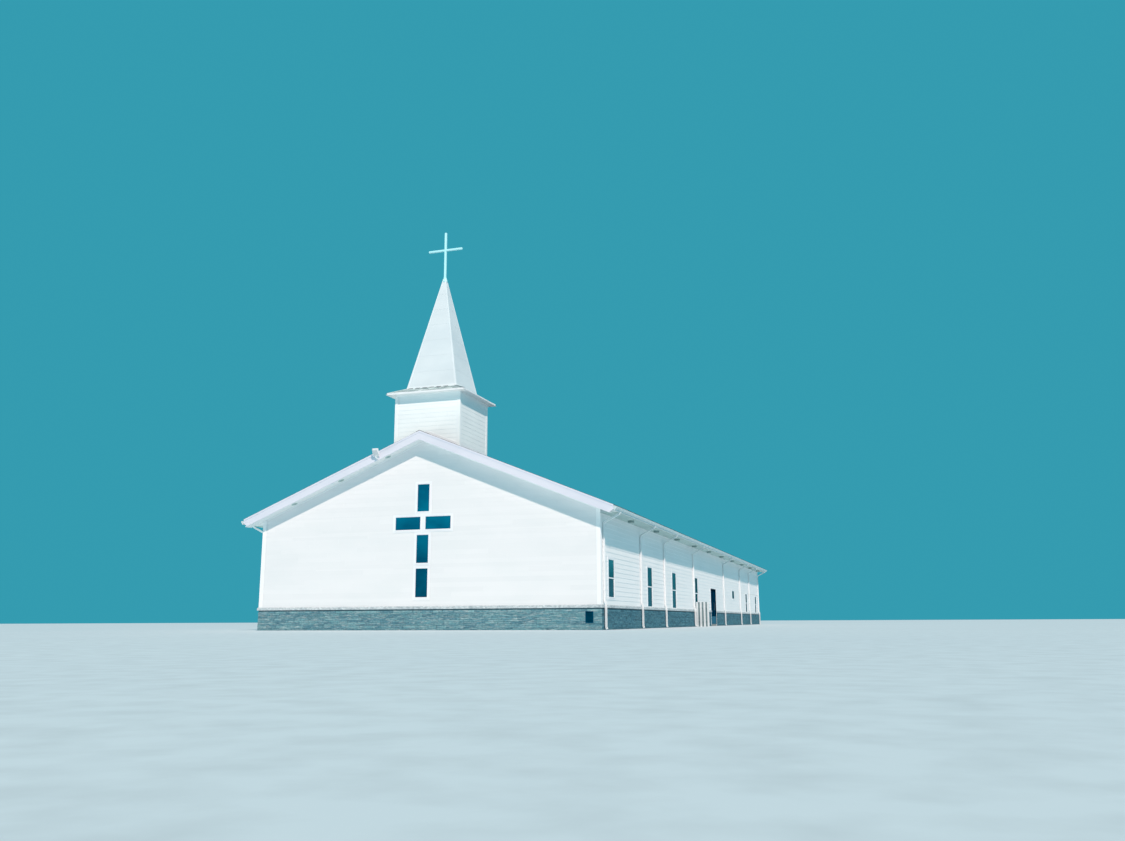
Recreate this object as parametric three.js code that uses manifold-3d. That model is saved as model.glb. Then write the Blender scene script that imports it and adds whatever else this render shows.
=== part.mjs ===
// Modern church building at half its real size: a gabled hall on a stone base, with a square steeple tower,
// a spire and a cross, five windows set as a cross in the front gable, and a double door in the right wall.
// Frame in millimetres: +X to the right, +Y to the back, +Z up. The origin is on the ground, at the middle
// of the building's outline.
import * as THREE from "three";
import { mergeVertices } from "three/addons/utils/BufferGeometryUtils.js";
import Module from "manifold-3d";

const wasm = await Module();
wasm.setup();

// Millimetres of this half-size model for one metre of the real building
const M = 500;
// Left where a sloped face meets another piece
const GAP = 0.3;
// Corners closer than this are one corner
const SAME_CORNER = 0.001;
// Left around the door leaves, 10 mm and 20 mm on the real door
const LEAF_GAP = 0.012 * M;
const HINGE_GAP = 0.02 * M;

// Hall, measured to the siding's face
const HALF_WIDTH = 7.62 * M;
const LENGTH = 51.41 * M;
const WALL = 0.2 * M;

// Roof: heights over the ground at the ridge and at the eave's edge, and how far it reaches past the walls
const RIDGE_TOP = 8.146 * M;
const EAVE_TOP = 4.73 * M;
const EAVE_X = 8.3 * M;
const ROOF_DEPTH = 0.35 * M;
const RAKE_REACH = 0.51 * M;
const RAKE_BOARD = { height: 0.373 * M, thickness: 0.025 * M, clipX: 8.13 * M, clipZ: 4.56 * M };
const SOFFIT_Z = 4.5 * M;
const RIDGE_CAP = { half: 0.16 * M, thickness: 0.03 * M };
const PITCH = (RIDGE_TOP - EAVE_TOP) / EAVE_X;

// Gutters and downspouts; distances along the hall start at the front wall
const GUTTER = { outerX: 8.428 * M, footX: 8.372 * M, sheet: 0.01 * M };
const GUTTER_HEIGHTS = { top: 4.66 * M, bend: 4.6 * M, foot: 4.51 * M };
const DOWNSPOUT = { width: 0.1 * M, depth: 0.075 * M, foot: 0.1 * M };
const DOWNSPOUT_X = { outlet: 8.305 * M, wall: 7.64 * M, base: 7.69 * M };
const DOWNSPOUTS = [0.33, 6.6, 11.7, 19.7, 31.2, 39.35, 44.85, 51.08];

// Bends of a downspout under the gutter and over the ledge; the outer corners are a step off the inner ones
const ELBOW = { top: 4.485 * M, drop: 0.33 * M, step: 0.047 * M };
const JOG = { top: 1.07 * M, drop: 0.06 * M, step: 0.027 * M };

// Stone base, the ledge on it, and the floor
const BASE_HEIGHT = 0.84 * M;
const BASE_PROUD = 0.01 * M;
const BASE_THICKNESS = 0.26 * M;
const LEDGE_TOP = 0.96 * M;
const LEDGE_PROUD = 0.065 * M;
const FLOOR_TOP = 0.11 * M;
const VENT = { left: 7.0 * M, right: 7.31 * M, foot: 0.27 * M, top: 0.71 * M, depth: 0.08 * M };

// Windows: clear glass sizes in real metres, and the frame around the glass
const FRAME = { width: 0.04 * M, depth: 0.12 * M, proud: 0.02 * M };
const GLASS = { thickness: 0.024 * M, setBack: 0.03 * M };
const CROSS_WINDOWS = {
  top: { across: 0.025, width: 0.53, foot: 4.82, head: 5.95 },
  left_arm: { across: -0.657, width: 1.13, foot: 4.075, head: 4.6 },
  right_arm: { across: 0.707, width: 1.13, foot: 4.075, head: 4.6 },
  middle: { across: 0.025, width: 0.53, foot: 2.705, head: 3.85 },
  bottom: { across: 0.02, width: 0.53, foot: 1.317, head: 2.475 },
};
const RIGHT_WINDOWS = {
  1: { along: 1.555, width: 0.82, foot: 1.285, head: 2.75 },
  2: { along: 8.525, width: 0.92, foot: 1.0, head: 2.775 },
  3: { along: 14.24, width: 0.96, foot: 1.0, head: 2.775 },
  4: { along: 20.77, width: 0.86, foot: 1.0, head: 2.77 },
  5: { along: 35.88, width: 1.1, foot: 1.89, head: 2.42 },
  6: { along: 43.15, width: 0.86, foot: 1.0, head: 2.38 },
  7: { along: 49.2, width: 0.86, foot: 1.0, head: 2.3 },
};
const LEFT_WINDOWS = { count: 5, first: 4.9, step: 10.4, width: 0.86, foot: 1.0, head: 2.77 };

// Double door in the right wall
const DOORWAY = { from: 25.8 * M, to: 27.8 * M, head: 2.32 * M };
const DOOR_FRAME = { width: 0.06 * M, inner: 7.48 * M, outer: 7.64 * M };
const LEAF = { thickness: 0.044 * M, middle: 7.6 * M, rim: 0.07 * M, kick: 0.5 * M, glass: 0.012 * M };
const PIVOT = { radius: 0.012 * M, sides: 16 };

// Steeple over the ridge, behind the front wall
const TOWER = { half: 1.504 * M, from: 0.218 * M, top: 9.89 * M, wall: 0.15 * M };
const SKIRT = { half: 1.79 * M, fascia: 0.06 * M };
const SPIRE = { half: 1.161 * M, foot: 10.24 * M, top: 15.53 * M, topHalf: 0.055 * M, shell: 0.08 * M };
const CROSS = { bar: 0.11 * M, top: 17.753 * M, armZ: 16.908 * M, armHalf: 0.824 * M };

// Floodlight on the front left rake board, turned up to the steeple
const LIGHT = { across: -1.92 * M, foot: 7.03 * M, width: 0.27 * M, reach: 0.26 * M, tilt: 0.5 };
const LIGHT_BODY = { foot: 0.09 * M, depth: 0.08 * M, height: 0.34 * M };
const LIGHT_ARM = { half: 0.02 * M, reach: 0.14 * M, foot: 0.06 * M, head: 0.1 * M };
const LIGHT_PLATE = { thickness: 0.03 * M, height: 0.16 * M };

// Slatted screen that stands out from the right wall, in front of the fourth window
const SCREEN = { along: 20.24 * M, first: 7.69 * M, top: 1.39 * M, step: 0.209 * M, boards: 4 };
const SCREEN_BOARD = { width: 0.11 * M, thickness: 0.02 * M };
const SCREEN_RAIL = { thickness: 0.04 * M, height: 0.09 * M, low: 0.3 * M, high: 1.05 * M };

// The floodlight's reach moves the front wall back, so that the outline's middle stays at the origin
const FRONT = -(LENGTH - LIGHT.reach) / 2;
const BACK = FRONT + LENGTH;

// Colours
const white = { color: 0xe9f1f4, roughness: 0.55 };
const siding = { color: 0xe4edf1, roughness: 0.6 };
const stone = { color: 0x6f8791, roughness: 0.9 };
const ledgeStone = { color: 0xb9c2c6, roughness: 0.8 };
const shingle = { color: 0x3d4750, roughness: 0.95 };
const glass = { color: 0x123f52, roughness: 0.1, metalness: 0.1 };
const darkMetal = { color: 0x14222c, roughness: 0.4, metalness: 0.5 };
const concrete = { color: 0x9a9c9b, roughness: 0.9 };

const church = new THREE.Group();

function add(parent, name, geometry, material) {
  const mesh = new THREE.Mesh(geometry, new THREE.MeshStandardMaterial({ flatShading: true, ...material }));
  mesh.name = name;
  parent.add(mesh);
  return mesh;
}

function group(parent, x, y, z) {
  const made = new THREE.Group();
  made.position.set(x, y, z);
  parent.add(made);
  return made;
}

function box(x0, x1, y0, y1, z0, z1) {
  const geometry = new THREE.BoxGeometry(x1 - x0, y1 - y0, z1 - z0);
  return geometry.translate((x0 + x1) / 2, (y0 + y1) / 2, (z0 + z1) / 2);
}

// An outline extruded along one axis. Its points are (y, z) along x, (x, z) along y and (x, y) along z.
const X = new THREE.Vector3(1, 0, 0);
const Y = new THREE.Vector3(0, 1, 0);
const Z = new THREE.Vector3(0, 0, 1);

function prism(axis, start, end, points) {
  const shape = new THREE.Shape(points.map(([a, b]) => new THREE.Vector2(a, b)));
  const geometry = new THREE.ExtrudeGeometry(shape, { depth: end - start, bevelEnabled: false });
  if (axis === "x") {
    geometry.applyMatrix4(new THREE.Matrix4().makeBasis(Y, Z, X));
    return geometry.translate(start, 0, 0);
  }
  if (axis === "y") {
    geometry.applyMatrix4(new THREE.Matrix4().makeBasis(X, Z, Y.clone().negate()));
    return geometry.translate(0, end, 0);
  }
  return geometry.translate(0, 0, start);
}

// A square frustum that stands on z = foot
function frustum(halfFoot, halfTop, foot, top) {
  const across = Math.SQRT2;
  const geometry = new THREE.CylinderGeometry(halfTop * across, halfFoot * across, top - foot, 4, 1);
  geometry.rotateY(Math.PI / 4);
  geometry.rotateX(Math.PI / 2);
  return geometry.translate(0, 0, (foot + top) / 2);
}

function solidOf(geometry) {
  const bare = geometry.clone();
  bare.deleteAttribute("normal");
  bare.deleteAttribute("uv");
  const merged = mergeVertices(bare, SAME_CORNER);
  return new wasm.Manifold(
    new wasm.Mesh({
      numProp: 3,
      vertProperties: merged.attributes.position.array,
      triVerts: new Uint32Array(merged.index.array),
    }),
  );
}

function geometryOf(solid) {
  const mesh = solid.getMesh();
  const geometry = new THREE.BufferGeometry();
  geometry.setAttribute("position", new THREE.BufferAttribute(mesh.vertProperties, 3));
  geometry.setIndex(new THREE.BufferAttribute(mesh.triVerts, 1));
  return geometry;
}

function cut(geometry, tools) {
  return geometryOf(tools.reduce((solid, tool) => solid.subtract(solidOf(tool)), solidOf(geometry)));
}

function join(pieces) {
  return geometryOf(pieces.map(solidOf).reduce((solid, piece) => solid.add(piece)));
}

const roofTopAt = (x) => RIDGE_TOP - PITCH * Math.abs(x);
const roofUnderAt = (x) => roofTopAt(x) - ROOF_DEPTH;

// The opening that a window fills: its glass with the frame around it, in model millimetres
function opening(window) {
  return {
    half: (window.width * M) / 2 + FRAME.width,
    foot: window.foot * M - FRAME.width,
    head: window.head * M + FRAME.width,
  };
}

// A window seen from outside along +Y, with the wall's face at y = 0
function windowGeometry(window) {
  const { half, foot, head } = opening(window);
  const outer = -FRAME.proud;
  const inner = FRAME.depth - FRAME.proud;
  const pane = [half - FRAME.width, foot + FRAME.width, head - FRAME.width];
  const recess = (from, to) => box(-pane[0], pane[0], from, to, pane[1], pane[2]);
  return cut(box(-half, half, outer, inner, foot, head), [
    recess(outer - M, outer + GLASS.setBack),
    recess(outer + GLASS.setBack + GLASS.thickness, inner + M),
  ]);
}

// Stone base, split at the doorway
function addBase() {
  const outerX = HALF_WIDTH + BASE_PROUD;
  const innerX = outerX - BASE_THICKNESS;
  const frontY = FRONT - BASE_PROUD;
  const backY = BACK + BASE_PROUD;
  const innerFront = frontY + BASE_THICKNESS;
  const innerBack = backY - BASE_THICKNESS;
  const end = (y0, y1) => box(-outerX, outerX, y0, y1, 0, BASE_HEIGHT);
  const ventHole = box(VENT.left, VENT.right, frontY - M, innerFront + M, VENT.foot, VENT.top);
  add(church, "front_stone_base", cut(end(frontY, innerFront), [ventHole]), stone);
  add(church, "rear_stone_base", end(innerBack, backY), stone);
  const side = (name, x0, x1, y0, y1) => add(church, name, box(x0, x1, y0, y1, 0, BASE_HEIGHT), stone);
  side("left_stone_base", -outerX, -innerX, innerFront, innerBack);
  side("right_stone_base_front", innerX, outerX, innerFront, FRONT + DOORWAY.from);
  side("right_stone_base_rear", innerX, outerX, FRONT + DOORWAY.to, innerBack);

  const vent = box(VENT.left, VENT.right, frontY, frontY + VENT.depth, VENT.foot, VENT.top);
  add(church, "foundation_vent", vent, darkMetal);

  const slab = [
    [-innerX, innerFront],
    [innerX, innerFront],
    [innerX, FRONT + DOORWAY.from],
    [outerX, FRONT + DOORWAY.from],
    [outerX, FRONT + DOORWAY.to],
    [innerX, FRONT + DOORWAY.to],
    [innerX, innerBack],
    [-innerX, innerBack],
  ];
  add(church, "floor_slab", prism("z", 0, FLOOR_TOP, slab), concrete);
}

// Ledge around the foot of the siding, open at the doorway
function addLedge() {
  const block = (grow, z0, z1) =>
    box(-HALF_WIDTH - grow, HALF_WIDTH + grow, FRONT - grow, BACK + grow, z0, z1);
  const doorway = box(0, HALF_WIDTH + M, FRONT + DOORWAY.from, FRONT + DOORWAY.to, 0, LEDGE_TOP + M);
  const ring = cut(block(LEDGE_PROUD, BASE_HEIGHT, LEDGE_TOP), [block(0, 0, LEDGE_TOP + M), doorway]);
  add(church, "stone_ledge", ring, ledgeStone);
}

// Gable walls: the front one has the five openings of the cross
function addGableWalls() {
  const gable = [
    [-HALF_WIDTH, BASE_HEIGHT],
    [HALF_WIDTH, BASE_HEIGHT],
    [HALF_WIDTH, roofUnderAt(HALF_WIDTH) - GAP],
    [0, roofUnderAt(0) - GAP],
    [-HALF_WIDTH, roofUnderAt(HALF_WIDTH) - GAP],
  ];
  const holes = Object.values(CROSS_WINDOWS).map((window) => {
    const { half, foot, head } = opening(window);
    const middle = window.across * M;
    return box(middle - half, middle + half, FRONT - M, FRONT + M, foot, head);
  });
  add(church, "front_wall", cut(prism("y", FRONT, FRONT + WALL, gable), holes), siding);
  add(church, "rear_wall", prism("y", BACK - WALL, BACK, gable), siding);
  const front = group(church, 0, FRONT, 0);
  for (const [place, window] of Object.entries(CROSS_WINDOWS)) {
    const mesh = add(front, `cross_window_${place}`, windowGeometry(window), glass);
    mesh.position.x = window.across * M;
  }
}

// Side walls, cut for their windows; the right one is split beside and over the doorway
function sideWall(side, from, to, foot, windows) {
  const inner = HALF_WIDTH - WALL;
  const profile = [
    [side * inner, foot],
    [side * HALF_WIDTH, foot],
    [side * HALF_WIDTH, roofUnderAt(HALF_WIDTH) - GAP],
    [side * inner, roofUnderAt(inner) - GAP],
  ];
  const holes = windows.map((window) => {
    const { half, foot: sill, head } = opening(window);
    const middle = FRONT + window.along * M;
    return box(-HALF_WIDTH - M, HALF_WIDTH + M, middle - half, middle + half, sill, head);
  });
  return cut(prism("y", from, to, profile), holes);
}

function addSideWindow(wallGroup, name, window, side) {
  const mesh = add(wallGroup, name, windowGeometry(window), glass);
  mesh.position.set(side * HALF_WIDTH, FRONT + window.along * M, 0);
  mesh.rotation.z = (side * Math.PI) / 2;
}

function addSideWalls() {
  const from = FRONT + WALL;
  const to = BACK - WALL;
  const doorFrom = FRONT + DOORWAY.from;
  const doorTo = FRONT + DOORWAY.to;
  const before = Object.values(RIGHT_WINDOWS).filter((window) => window.along * M < DOORWAY.from);
  const after = Object.values(RIGHT_WINDOWS).filter((window) => window.along * M > DOORWAY.to);
  add(church, "right_wall_front", sideWall(1, from, doorFrom, BASE_HEIGHT, before), siding);
  add(church, "right_wall_rear", sideWall(1, doorTo, to, BASE_HEIGHT, after), siding);
  add(church, "right_wall_over_door", sideWall(1, doorFrom, doorTo, DOORWAY.head, []), siding);
  const right = group(church, 0, 0, 0);
  for (const [number, window] of Object.entries(RIGHT_WINDOWS)) {
    addSideWindow(right, `right_window_${number}`, window, 1);
  }

  const windows = Array.from({ length: LEFT_WINDOWS.count }, (_, i) => ({
    ...LEFT_WINDOWS,
    along: LEFT_WINDOWS.first + i * LEFT_WINDOWS.step,
  }));
  add(church, "left_wall", sideWall(-1, from, to, BASE_HEIGHT, windows), siding);
  const left = group(church, 0, 0, 0);
  windows.forEach((window, i) => addSideWindow(left, `left_window_${i + 1}`, window, -1));
}

// Roof slabs, ridge cap, rake boards, eave soffits, and gutters with their downspouts
function addRoof() {
  const roof = group(church, 0, 0, 0);
  const slabFrom = FRONT - RAKE_REACH + RAKE_BOARD.thickness;
  const slabTo = BACK + RAKE_REACH - RAKE_BOARD.thickness;
  const soffitX = (roofUnderAt(0) - SOFFIT_Z) / PITCH;
  for (const [name, side] of [["left", -1], ["right", 1]]) {
    const slab = [
      [0, RIDGE_TOP],
      [side * EAVE_X, EAVE_TOP],
      [side * EAVE_X, SOFFIT_Z],
      [side * soffitX, SOFFIT_Z],
      [0, roofUnderAt(0)],
    ];
    add(roof, `${name}_roof`, prism("y", slabFrom, slabTo, slab), shingle);
    const soffit = [
      [side * HALF_WIDTH, SOFFIT_Z],
      [side * (soffitX - 2 * GAP), SOFFIT_Z],
      [side * HALF_WIDTH, roofUnderAt(HALF_WIDTH) - GAP],
    ];
    add(roof, `${name}_eave_soffit`, prism("y", FRONT, BACK, soffit), white);
    add(roof, `${name}_gutter`, gutterGeometry(side), white);
  }
  const capUnder = RIDGE_TOP + GAP;
  const drop = PITCH * RIDGE_CAP.half;
  const cap = [
    [-RIDGE_CAP.half, capUnder - drop],
    [0, capUnder],
    [RIDGE_CAP.half, capUnder - drop],
    [RIDGE_CAP.half, capUnder - drop + RIDGE_CAP.thickness],
    [0, capUnder + RIDGE_CAP.thickness],
    [-RIDGE_CAP.half, capUnder - drop + RIDGE_CAP.thickness],
  ];
  add(roof, "ridge_cap", prism("y", FRONT + TOWER.from + 2 * TOWER.half, slabTo, cap), shingle);

  const { clipX, clipZ } = RAKE_BOARD;
  const rakeFootAt = (x) => roofTopAt(x) - RAKE_BOARD.height;
  const rake = [
    [-EAVE_X, EAVE_TOP],
    [-EAVE_X, clipZ],
    [-clipX, rakeFootAt(clipX)],
    [0, rakeFootAt(0)],
    [clipX, rakeFootAt(clipX)],
    [EAVE_X, clipZ],
    [EAVE_X, EAVE_TOP],
    [0, RIDGE_TOP],
  ];
  add(roof, "front_rake_board", prism("y", FRONT - RAKE_REACH, slabFrom, rake), white);
  add(roof, "rear_rake_board", prism("y", slabTo, BACK + RAKE_REACH, rake), white);
}

// A trough along the eave with closed ends, and a bent downspout under it at each place in the list
function gutterGeometry(side) {
  const { top, bend, foot } = GUTTER_HEIGHTS;
  const profile = (inset) => [
    [side * (EAVE_X + inset), top + inset],
    [side * (EAVE_X + inset), foot + inset],
    [side * (GUTTER.footX - inset), foot + inset],
    [side * (GUTTER.outerX - inset), bend],
    [side * (GUTTER.outerX - inset), top + inset],
  ];
  const from = FRONT - RAKE_REACH;
  const to = BACK + RAKE_REACH;
  const trough = cut(prism("y", from, to, profile(0)), [
    prism("y", from + GUTTER.sheet, to - GUTTER.sheet, profile(GUTTER.sheet)),
  ]);
  const { depth } = DOWNSPOUT;
  const { outlet, wall, base } = DOWNSPOUT_X;
  const inlet = foot + GUTTER.sheet / 2;
  const bent = [
    [outlet, inlet],
    [outlet, ELBOW.top],
    [wall, ELBOW.top - ELBOW.drop],
    [wall, JOG.top],
    [base, JOG.top - JOG.drop],
    [base, DOWNSPOUT.foot],
    [base + depth, DOWNSPOUT.foot],
    [base + depth, JOG.top - JOG.drop + JOG.step],
    [wall + depth, JOG.top + JOG.step],
    [wall + depth, ELBOW.top - ELBOW.drop - ELBOW.step],
    [outlet + depth, ELBOW.top - ELBOW.step],
    [outlet + depth, inlet],
  ].map(([x, z]) => [side * x, z]);
  const pipes = DOWNSPOUTS.map((along) => {
    const middle = FRONT + along * M;
    return prism("y", middle - DOWNSPOUT.width / 2, middle + DOWNSPOUT.width / 2, bent);
  });
  return join([trough, ...pipes]);
}

// Steeple: tower walls on the roof's slopes, skirt roof, hollow spire and cross
function addSteeple() {
  const steeple = group(church, 0, FRONT + TOWER.from + TOWER.half, 0);
  const foot = roofTopAt(TOWER.half) + GAP;
  const face = [
    [-TOWER.half, foot],
    [0, RIDGE_TOP + GAP],
    [TOWER.half, foot],
    [TOWER.half, TOWER.top],
    [-TOWER.half, TOWER.top],
  ];
  const inside = TOWER.half - TOWER.wall;
  const hollow = box(-inside, inside, -inside, inside, foot - M, TOWER.top + M);
  add(steeple, "steeple_tower", cut(prism("y", -TOWER.half, TOWER.half, face), [hollow]), siding);

  const fasciaTop = TOWER.top + SKIRT.fascia;
  const fascia = box(-SKIRT.half, SKIRT.half, -SKIRT.half, SKIRT.half, TOWER.top, fasciaTop);
  const skirt = join([fascia, frustum(SKIRT.half, SPIRE.half, fasciaTop, SPIRE.foot)]);
  add(steeple, "steeple_skirt_roof", skirt, shingle);

  const slope = (SPIRE.half - SPIRE.topHalf) / (SPIRE.top - SPIRE.foot);
  const hollowTop = SPIRE.top - (2 * SPIRE.shell) / slope;
  const hollowFoot = SPIRE.half - SPIRE.shell;
  const hollowHalf = hollowFoot - slope * (hollowTop - SPIRE.foot);
  const spireHollow = frustum(hollowFoot + slope * M, hollowHalf, SPIRE.foot - M, hollowTop);
  const outside = frustum(SPIRE.half, SPIRE.topHalf, SPIRE.foot, SPIRE.top);
  add(steeple, "spire", cut(outside, [spireHollow]), white);

  const bar = CROSS.bar / 2;
  const arm = CROSS.armHalf;
  const cross = [
    [-bar, SPIRE.top],
    [bar, SPIRE.top],
    [bar, CROSS.armZ - bar],
    [arm, CROSS.armZ - bar],
    [arm, CROSS.armZ + bar],
    [bar, CROSS.armZ + bar],
    [bar, CROSS.top],
    [-bar, CROSS.top],
    [-bar, CROSS.armZ + bar],
    [-arm, CROSS.armZ + bar],
    [-arm, CROSS.armZ - bar],
    [-bar, CROSS.armZ - bar],
  ];
  add(steeple, "spire_cross", prism("y", -bar, bar, cross), white);
}

// Door frame, and two leaves that turn outwards on pivots near the jambs
function addDoor() {
  const door = group(church, 0, FRONT, 0);
  const { width, inner, outer } = DOOR_FRAME;
  const frame = [
    [DOORWAY.from, FLOOR_TOP],
    [DOORWAY.from + width, FLOOR_TOP],
    [DOORWAY.from + width, DOORWAY.head - width],
    [DOORWAY.to - width, DOORWAY.head - width],
    [DOORWAY.to - width, FLOOR_TOP],
    [DOORWAY.to, FLOOR_TOP],
    [DOORWAY.to, DOORWAY.head],
    [DOORWAY.from, DOORWAY.head],
  ];
  add(door, "door_frame", prism("x", inner, outer, frame), white);

  const clearWidth = DOORWAY.to - DOORWAY.from - 2 * width;
  const leafWidth = (clearWidth - LEAF_GAP) / 2 - HINGE_GAP;
  const foot = FLOOR_TOP + LEAF_GAP;
  const head = DOORWAY.head - width - LEAF_GAP;
  const half = LEAF.thickness / 2;
  const leaves = [
    ["door_leaf_front", DOORWAY.from + width + HINGE_GAP + half, 1],
    ["door_leaf_rear", DOORWAY.to - width - HINGE_GAP - half, -1],
  ];
  for (const [name, hingeY, side] of leaves) {
    const near = -half * side;
    const far = near + leafWidth * side;
    const y0 = Math.min(near, far);
    const y1 = Math.max(near, far);
    const leaf = box(-half, half, y0, y1, foot, head);
    const recess = (x0, x1) => box(x0, x1, y0 + LEAF.rim, y1 - LEAF.rim, foot + LEAF.kick, head - LEAF.rim);
    const cutLeaf = cut(leaf, [recess(LEAF.glass / 2, M), recess(-M, -LEAF.glass / 2)]);
    const pivotLength = 2 * LEAF_GAP - 2 * GAP;
    const pivot = new THREE.CylinderGeometry(PIVOT.radius, PIVOT.radius, pivotLength, PIVOT.sides);
    pivot.rotateX(Math.PI / 2);
    const footPivot = pivot.clone().translate(0, 0, foot);
    const headPivot = pivot.clone().translate(0, 0, head);
    const mesh = add(door, name, join([cutLeaf, footPivot, headPivot]), darkMetal);
    mesh.position.set(LEAF.middle, hingeY, 0);
  }
}

// Floodlight: a plate on the rake board, an arm, and a box turned up to the steeple
function addFloodlight() {
  const lamp = group(church, LIGHT.across, FRONT - RAKE_REACH, LIGHT.foot);
  const half = LIGHT.width / 2;
  const plate = box(-half / 2, half / 2, -LIGHT_PLATE.thickness, 0, 0, LIGHT_PLATE.height);
  const arm = box(-LIGHT_ARM.half, LIGHT_ARM.half, -LIGHT_ARM.reach, 0, LIGHT_ARM.foot, LIGHT_ARM.head);
  const body = box(-half, half, -LIGHT_BODY.depth / 2, LIGHT_BODY.depth / 2, 0, LIGHT_BODY.height);
  body.rotateX(LIGHT.tilt);
  body.computeBoundingBox();
  body.translate(0, -LIGHT.reach - body.boundingBox.min.y, LIGHT_BODY.foot);
  add(lamp, "floodlight", join([plate, arm, body]), white);
}

// Screen of upright boards on both sides of two rails, fixed to the stone base and the siding by its rails
function addScreen() {
  const screen = group(church, 0, FRONT + SCREEN.along, 0);
  const { width, thickness } = SCREEN_BOARD;
  const half = SCREEN_RAIL.thickness / 2;
  const end = SCREEN.first + SCREEN.step * (SCREEN.boards - 1) + width;
  const rail = (x, z) => box(x, end, -half, half, z, z + SCREEN_RAIL.height);
  const pieces = [rail(HALF_WIDTH + BASE_PROUD, SCREEN_RAIL.low), rail(HALF_WIDTH, SCREEN_RAIL.high)];
  for (let i = 0; i < SCREEN.boards; i += 1) {
    const x = SCREEN.first + i * SCREEN.step;
    pieces.push(box(x, x + width, -half - thickness, -half, 0, SCREEN.top));
    if (i < SCREEN.boards - 1) {
      const behind = x + SCREEN.step / 2;
      pieces.push(box(behind, behind + width, half, half + thickness, 0, SCREEN.top));
    }
  }
  add(screen, "slatted_screen", join(pieces), white);
}

addBase();
addLedge();
addGableWalls();
addSideWalls();
addRoof();
addSteeple();
addDoor();
addFloodlight();
addScreen();

export default church;
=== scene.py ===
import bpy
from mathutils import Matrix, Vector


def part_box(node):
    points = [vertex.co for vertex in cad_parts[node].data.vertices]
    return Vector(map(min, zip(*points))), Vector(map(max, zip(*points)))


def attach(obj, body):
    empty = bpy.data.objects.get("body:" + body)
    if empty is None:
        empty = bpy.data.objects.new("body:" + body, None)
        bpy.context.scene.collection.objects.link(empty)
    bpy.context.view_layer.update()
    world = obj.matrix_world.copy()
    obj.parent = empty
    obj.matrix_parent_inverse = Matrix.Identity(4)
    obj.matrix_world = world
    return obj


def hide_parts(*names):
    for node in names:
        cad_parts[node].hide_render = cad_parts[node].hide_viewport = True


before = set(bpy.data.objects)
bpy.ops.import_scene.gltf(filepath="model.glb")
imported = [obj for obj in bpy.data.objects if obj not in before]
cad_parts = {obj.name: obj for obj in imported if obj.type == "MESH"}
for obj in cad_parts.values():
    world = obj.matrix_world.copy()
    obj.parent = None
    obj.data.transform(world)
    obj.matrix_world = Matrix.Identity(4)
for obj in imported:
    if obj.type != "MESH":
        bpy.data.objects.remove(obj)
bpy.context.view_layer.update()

import math
from functools import partial
from types import SimpleNamespace as Sizes

import bpy
import numpy as np
from mathutils import Matrix, Vector

# Model metres for one real metre, and the real building's zero in the frame
SCALE = 0.5
ORIGIN = np.array([0.0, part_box("front_wall")[0].y, 0.0])


def real(node):
    """Lowest and highest corner of a CAD node, in metres of the real building."""
    low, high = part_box(node)
    return (np.array(low) - ORIGIN) / SCALE, (np.array(high) - ORIGIN) / SCALE


# Sizes that the frame gives
HALF_WIDTH = real("front_wall")[1][0]
LENGTH = real("rear_wall")[1][1]
SOFFIT_Z = real("right_eave_soffit")[0][2]
LEDGE_FOOT = real("stone_ledge")[0][2]
LEDGE_TOP = real("stone_ledge")[1][2]
BASE_HALF = real("front_stone_base")[1][0]
BASE_PROUD = BASE_HALF - HALF_WIDTH
RIDGE_TOP = real("right_roof")[1][2]
EAVE_X = real("right_roof")[1][0]
RAKE_REACH = -real("front_rake_board")[0][1]
TOWER_LOW, TOWER_HIGH = real("steeple_tower")
SKIRT_LOW, SKIRT_HIGH = real("steeple_skirt_roof")
SPIRE_LOW, SPIRE_HIGH = real("spire")

# Roof
EAVE_TOP = 4.73
PITCH = (RIDGE_TOP - EAVE_TOP) / EAVE_X
SLOPE = math.hypot(1, PITCH)
ROOF_DEPTH = 0.35

X, Y, UP = np.eye(3)
BLOCK_FACES = np.array([[0, 3, 2, 1], [4, 5, 6, 7], [0, 1, 5, 4], [1, 2, 6, 5], [2, 3, 7, 6], [3, 0, 4, 7]])
TURNED_BLOCK = [3, 2, 1, 0, 7, 6, 5, 4]


class Face:
    """A flat face: u runs to the right along it, v runs up it and d stands out from it, in real metres."""

    def __init__(self, origin, along, up):
        self.origin, self.along, self.up = (np.array(value, float) for value in (origin, along, up))
        self.out = np.cross(self.along, self.up)

    def at(self, u, v, d):
        u, v, d = np.broadcast_arrays(*(np.asarray(value, float)[..., None] for value in (u, v, d)))
        return self.origin + u * self.along + v * self.up + d * self.out

    def moved(self, u=0.0, v=0.0, d=0.0):
        return Face(self.at(u, v, d), self.along, self.up)

    def spread(self, node):
        """A node's lowest and highest u, v and d."""
        low, high = real(node)
        corners = np.where(list(np.ndindex(2, 2, 2)), high, low)
        across = [(corners - self.origin) @ axis for axis in (self.along, self.up, self.out)]
        return [(values.min(), values.max()) for values in across]


FRONT = Face((0, 0, 0), X, UP)
REAR = Face((0, LENGTH, 0), -X, UP)
RIGHT = Face((HALF_WIDTH, 0, 0), Y, UP)
LEFT = Face((-HALF_WIDTH, LENGTH, 0), -Y, UP)
GABLES = {"front": FRONT, "rear": REAR}
SIDES = {"left": LEFT, "right": RIGHT}
WALLS = GABLES | SIDES
SLOPE_UP = np.array([-1, 0, PITCH]) / SLOPE
ROOF_SLOPES = {
    "right": Face((EAVE_X, -RAKE_REACH, EAVE_TOP), Y, SLOPE_UP),
    "left": Face((-EAVE_X, LENGTH + RAKE_REACH, EAVE_TOP), -Y, SLOPE_UP * (-1, 1, 1)),
}


def grown(span, by):
    """A (from, to) made longer at both ends, or shorter where by is under zero."""
    return span[0] - by, span[1] + by


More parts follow.
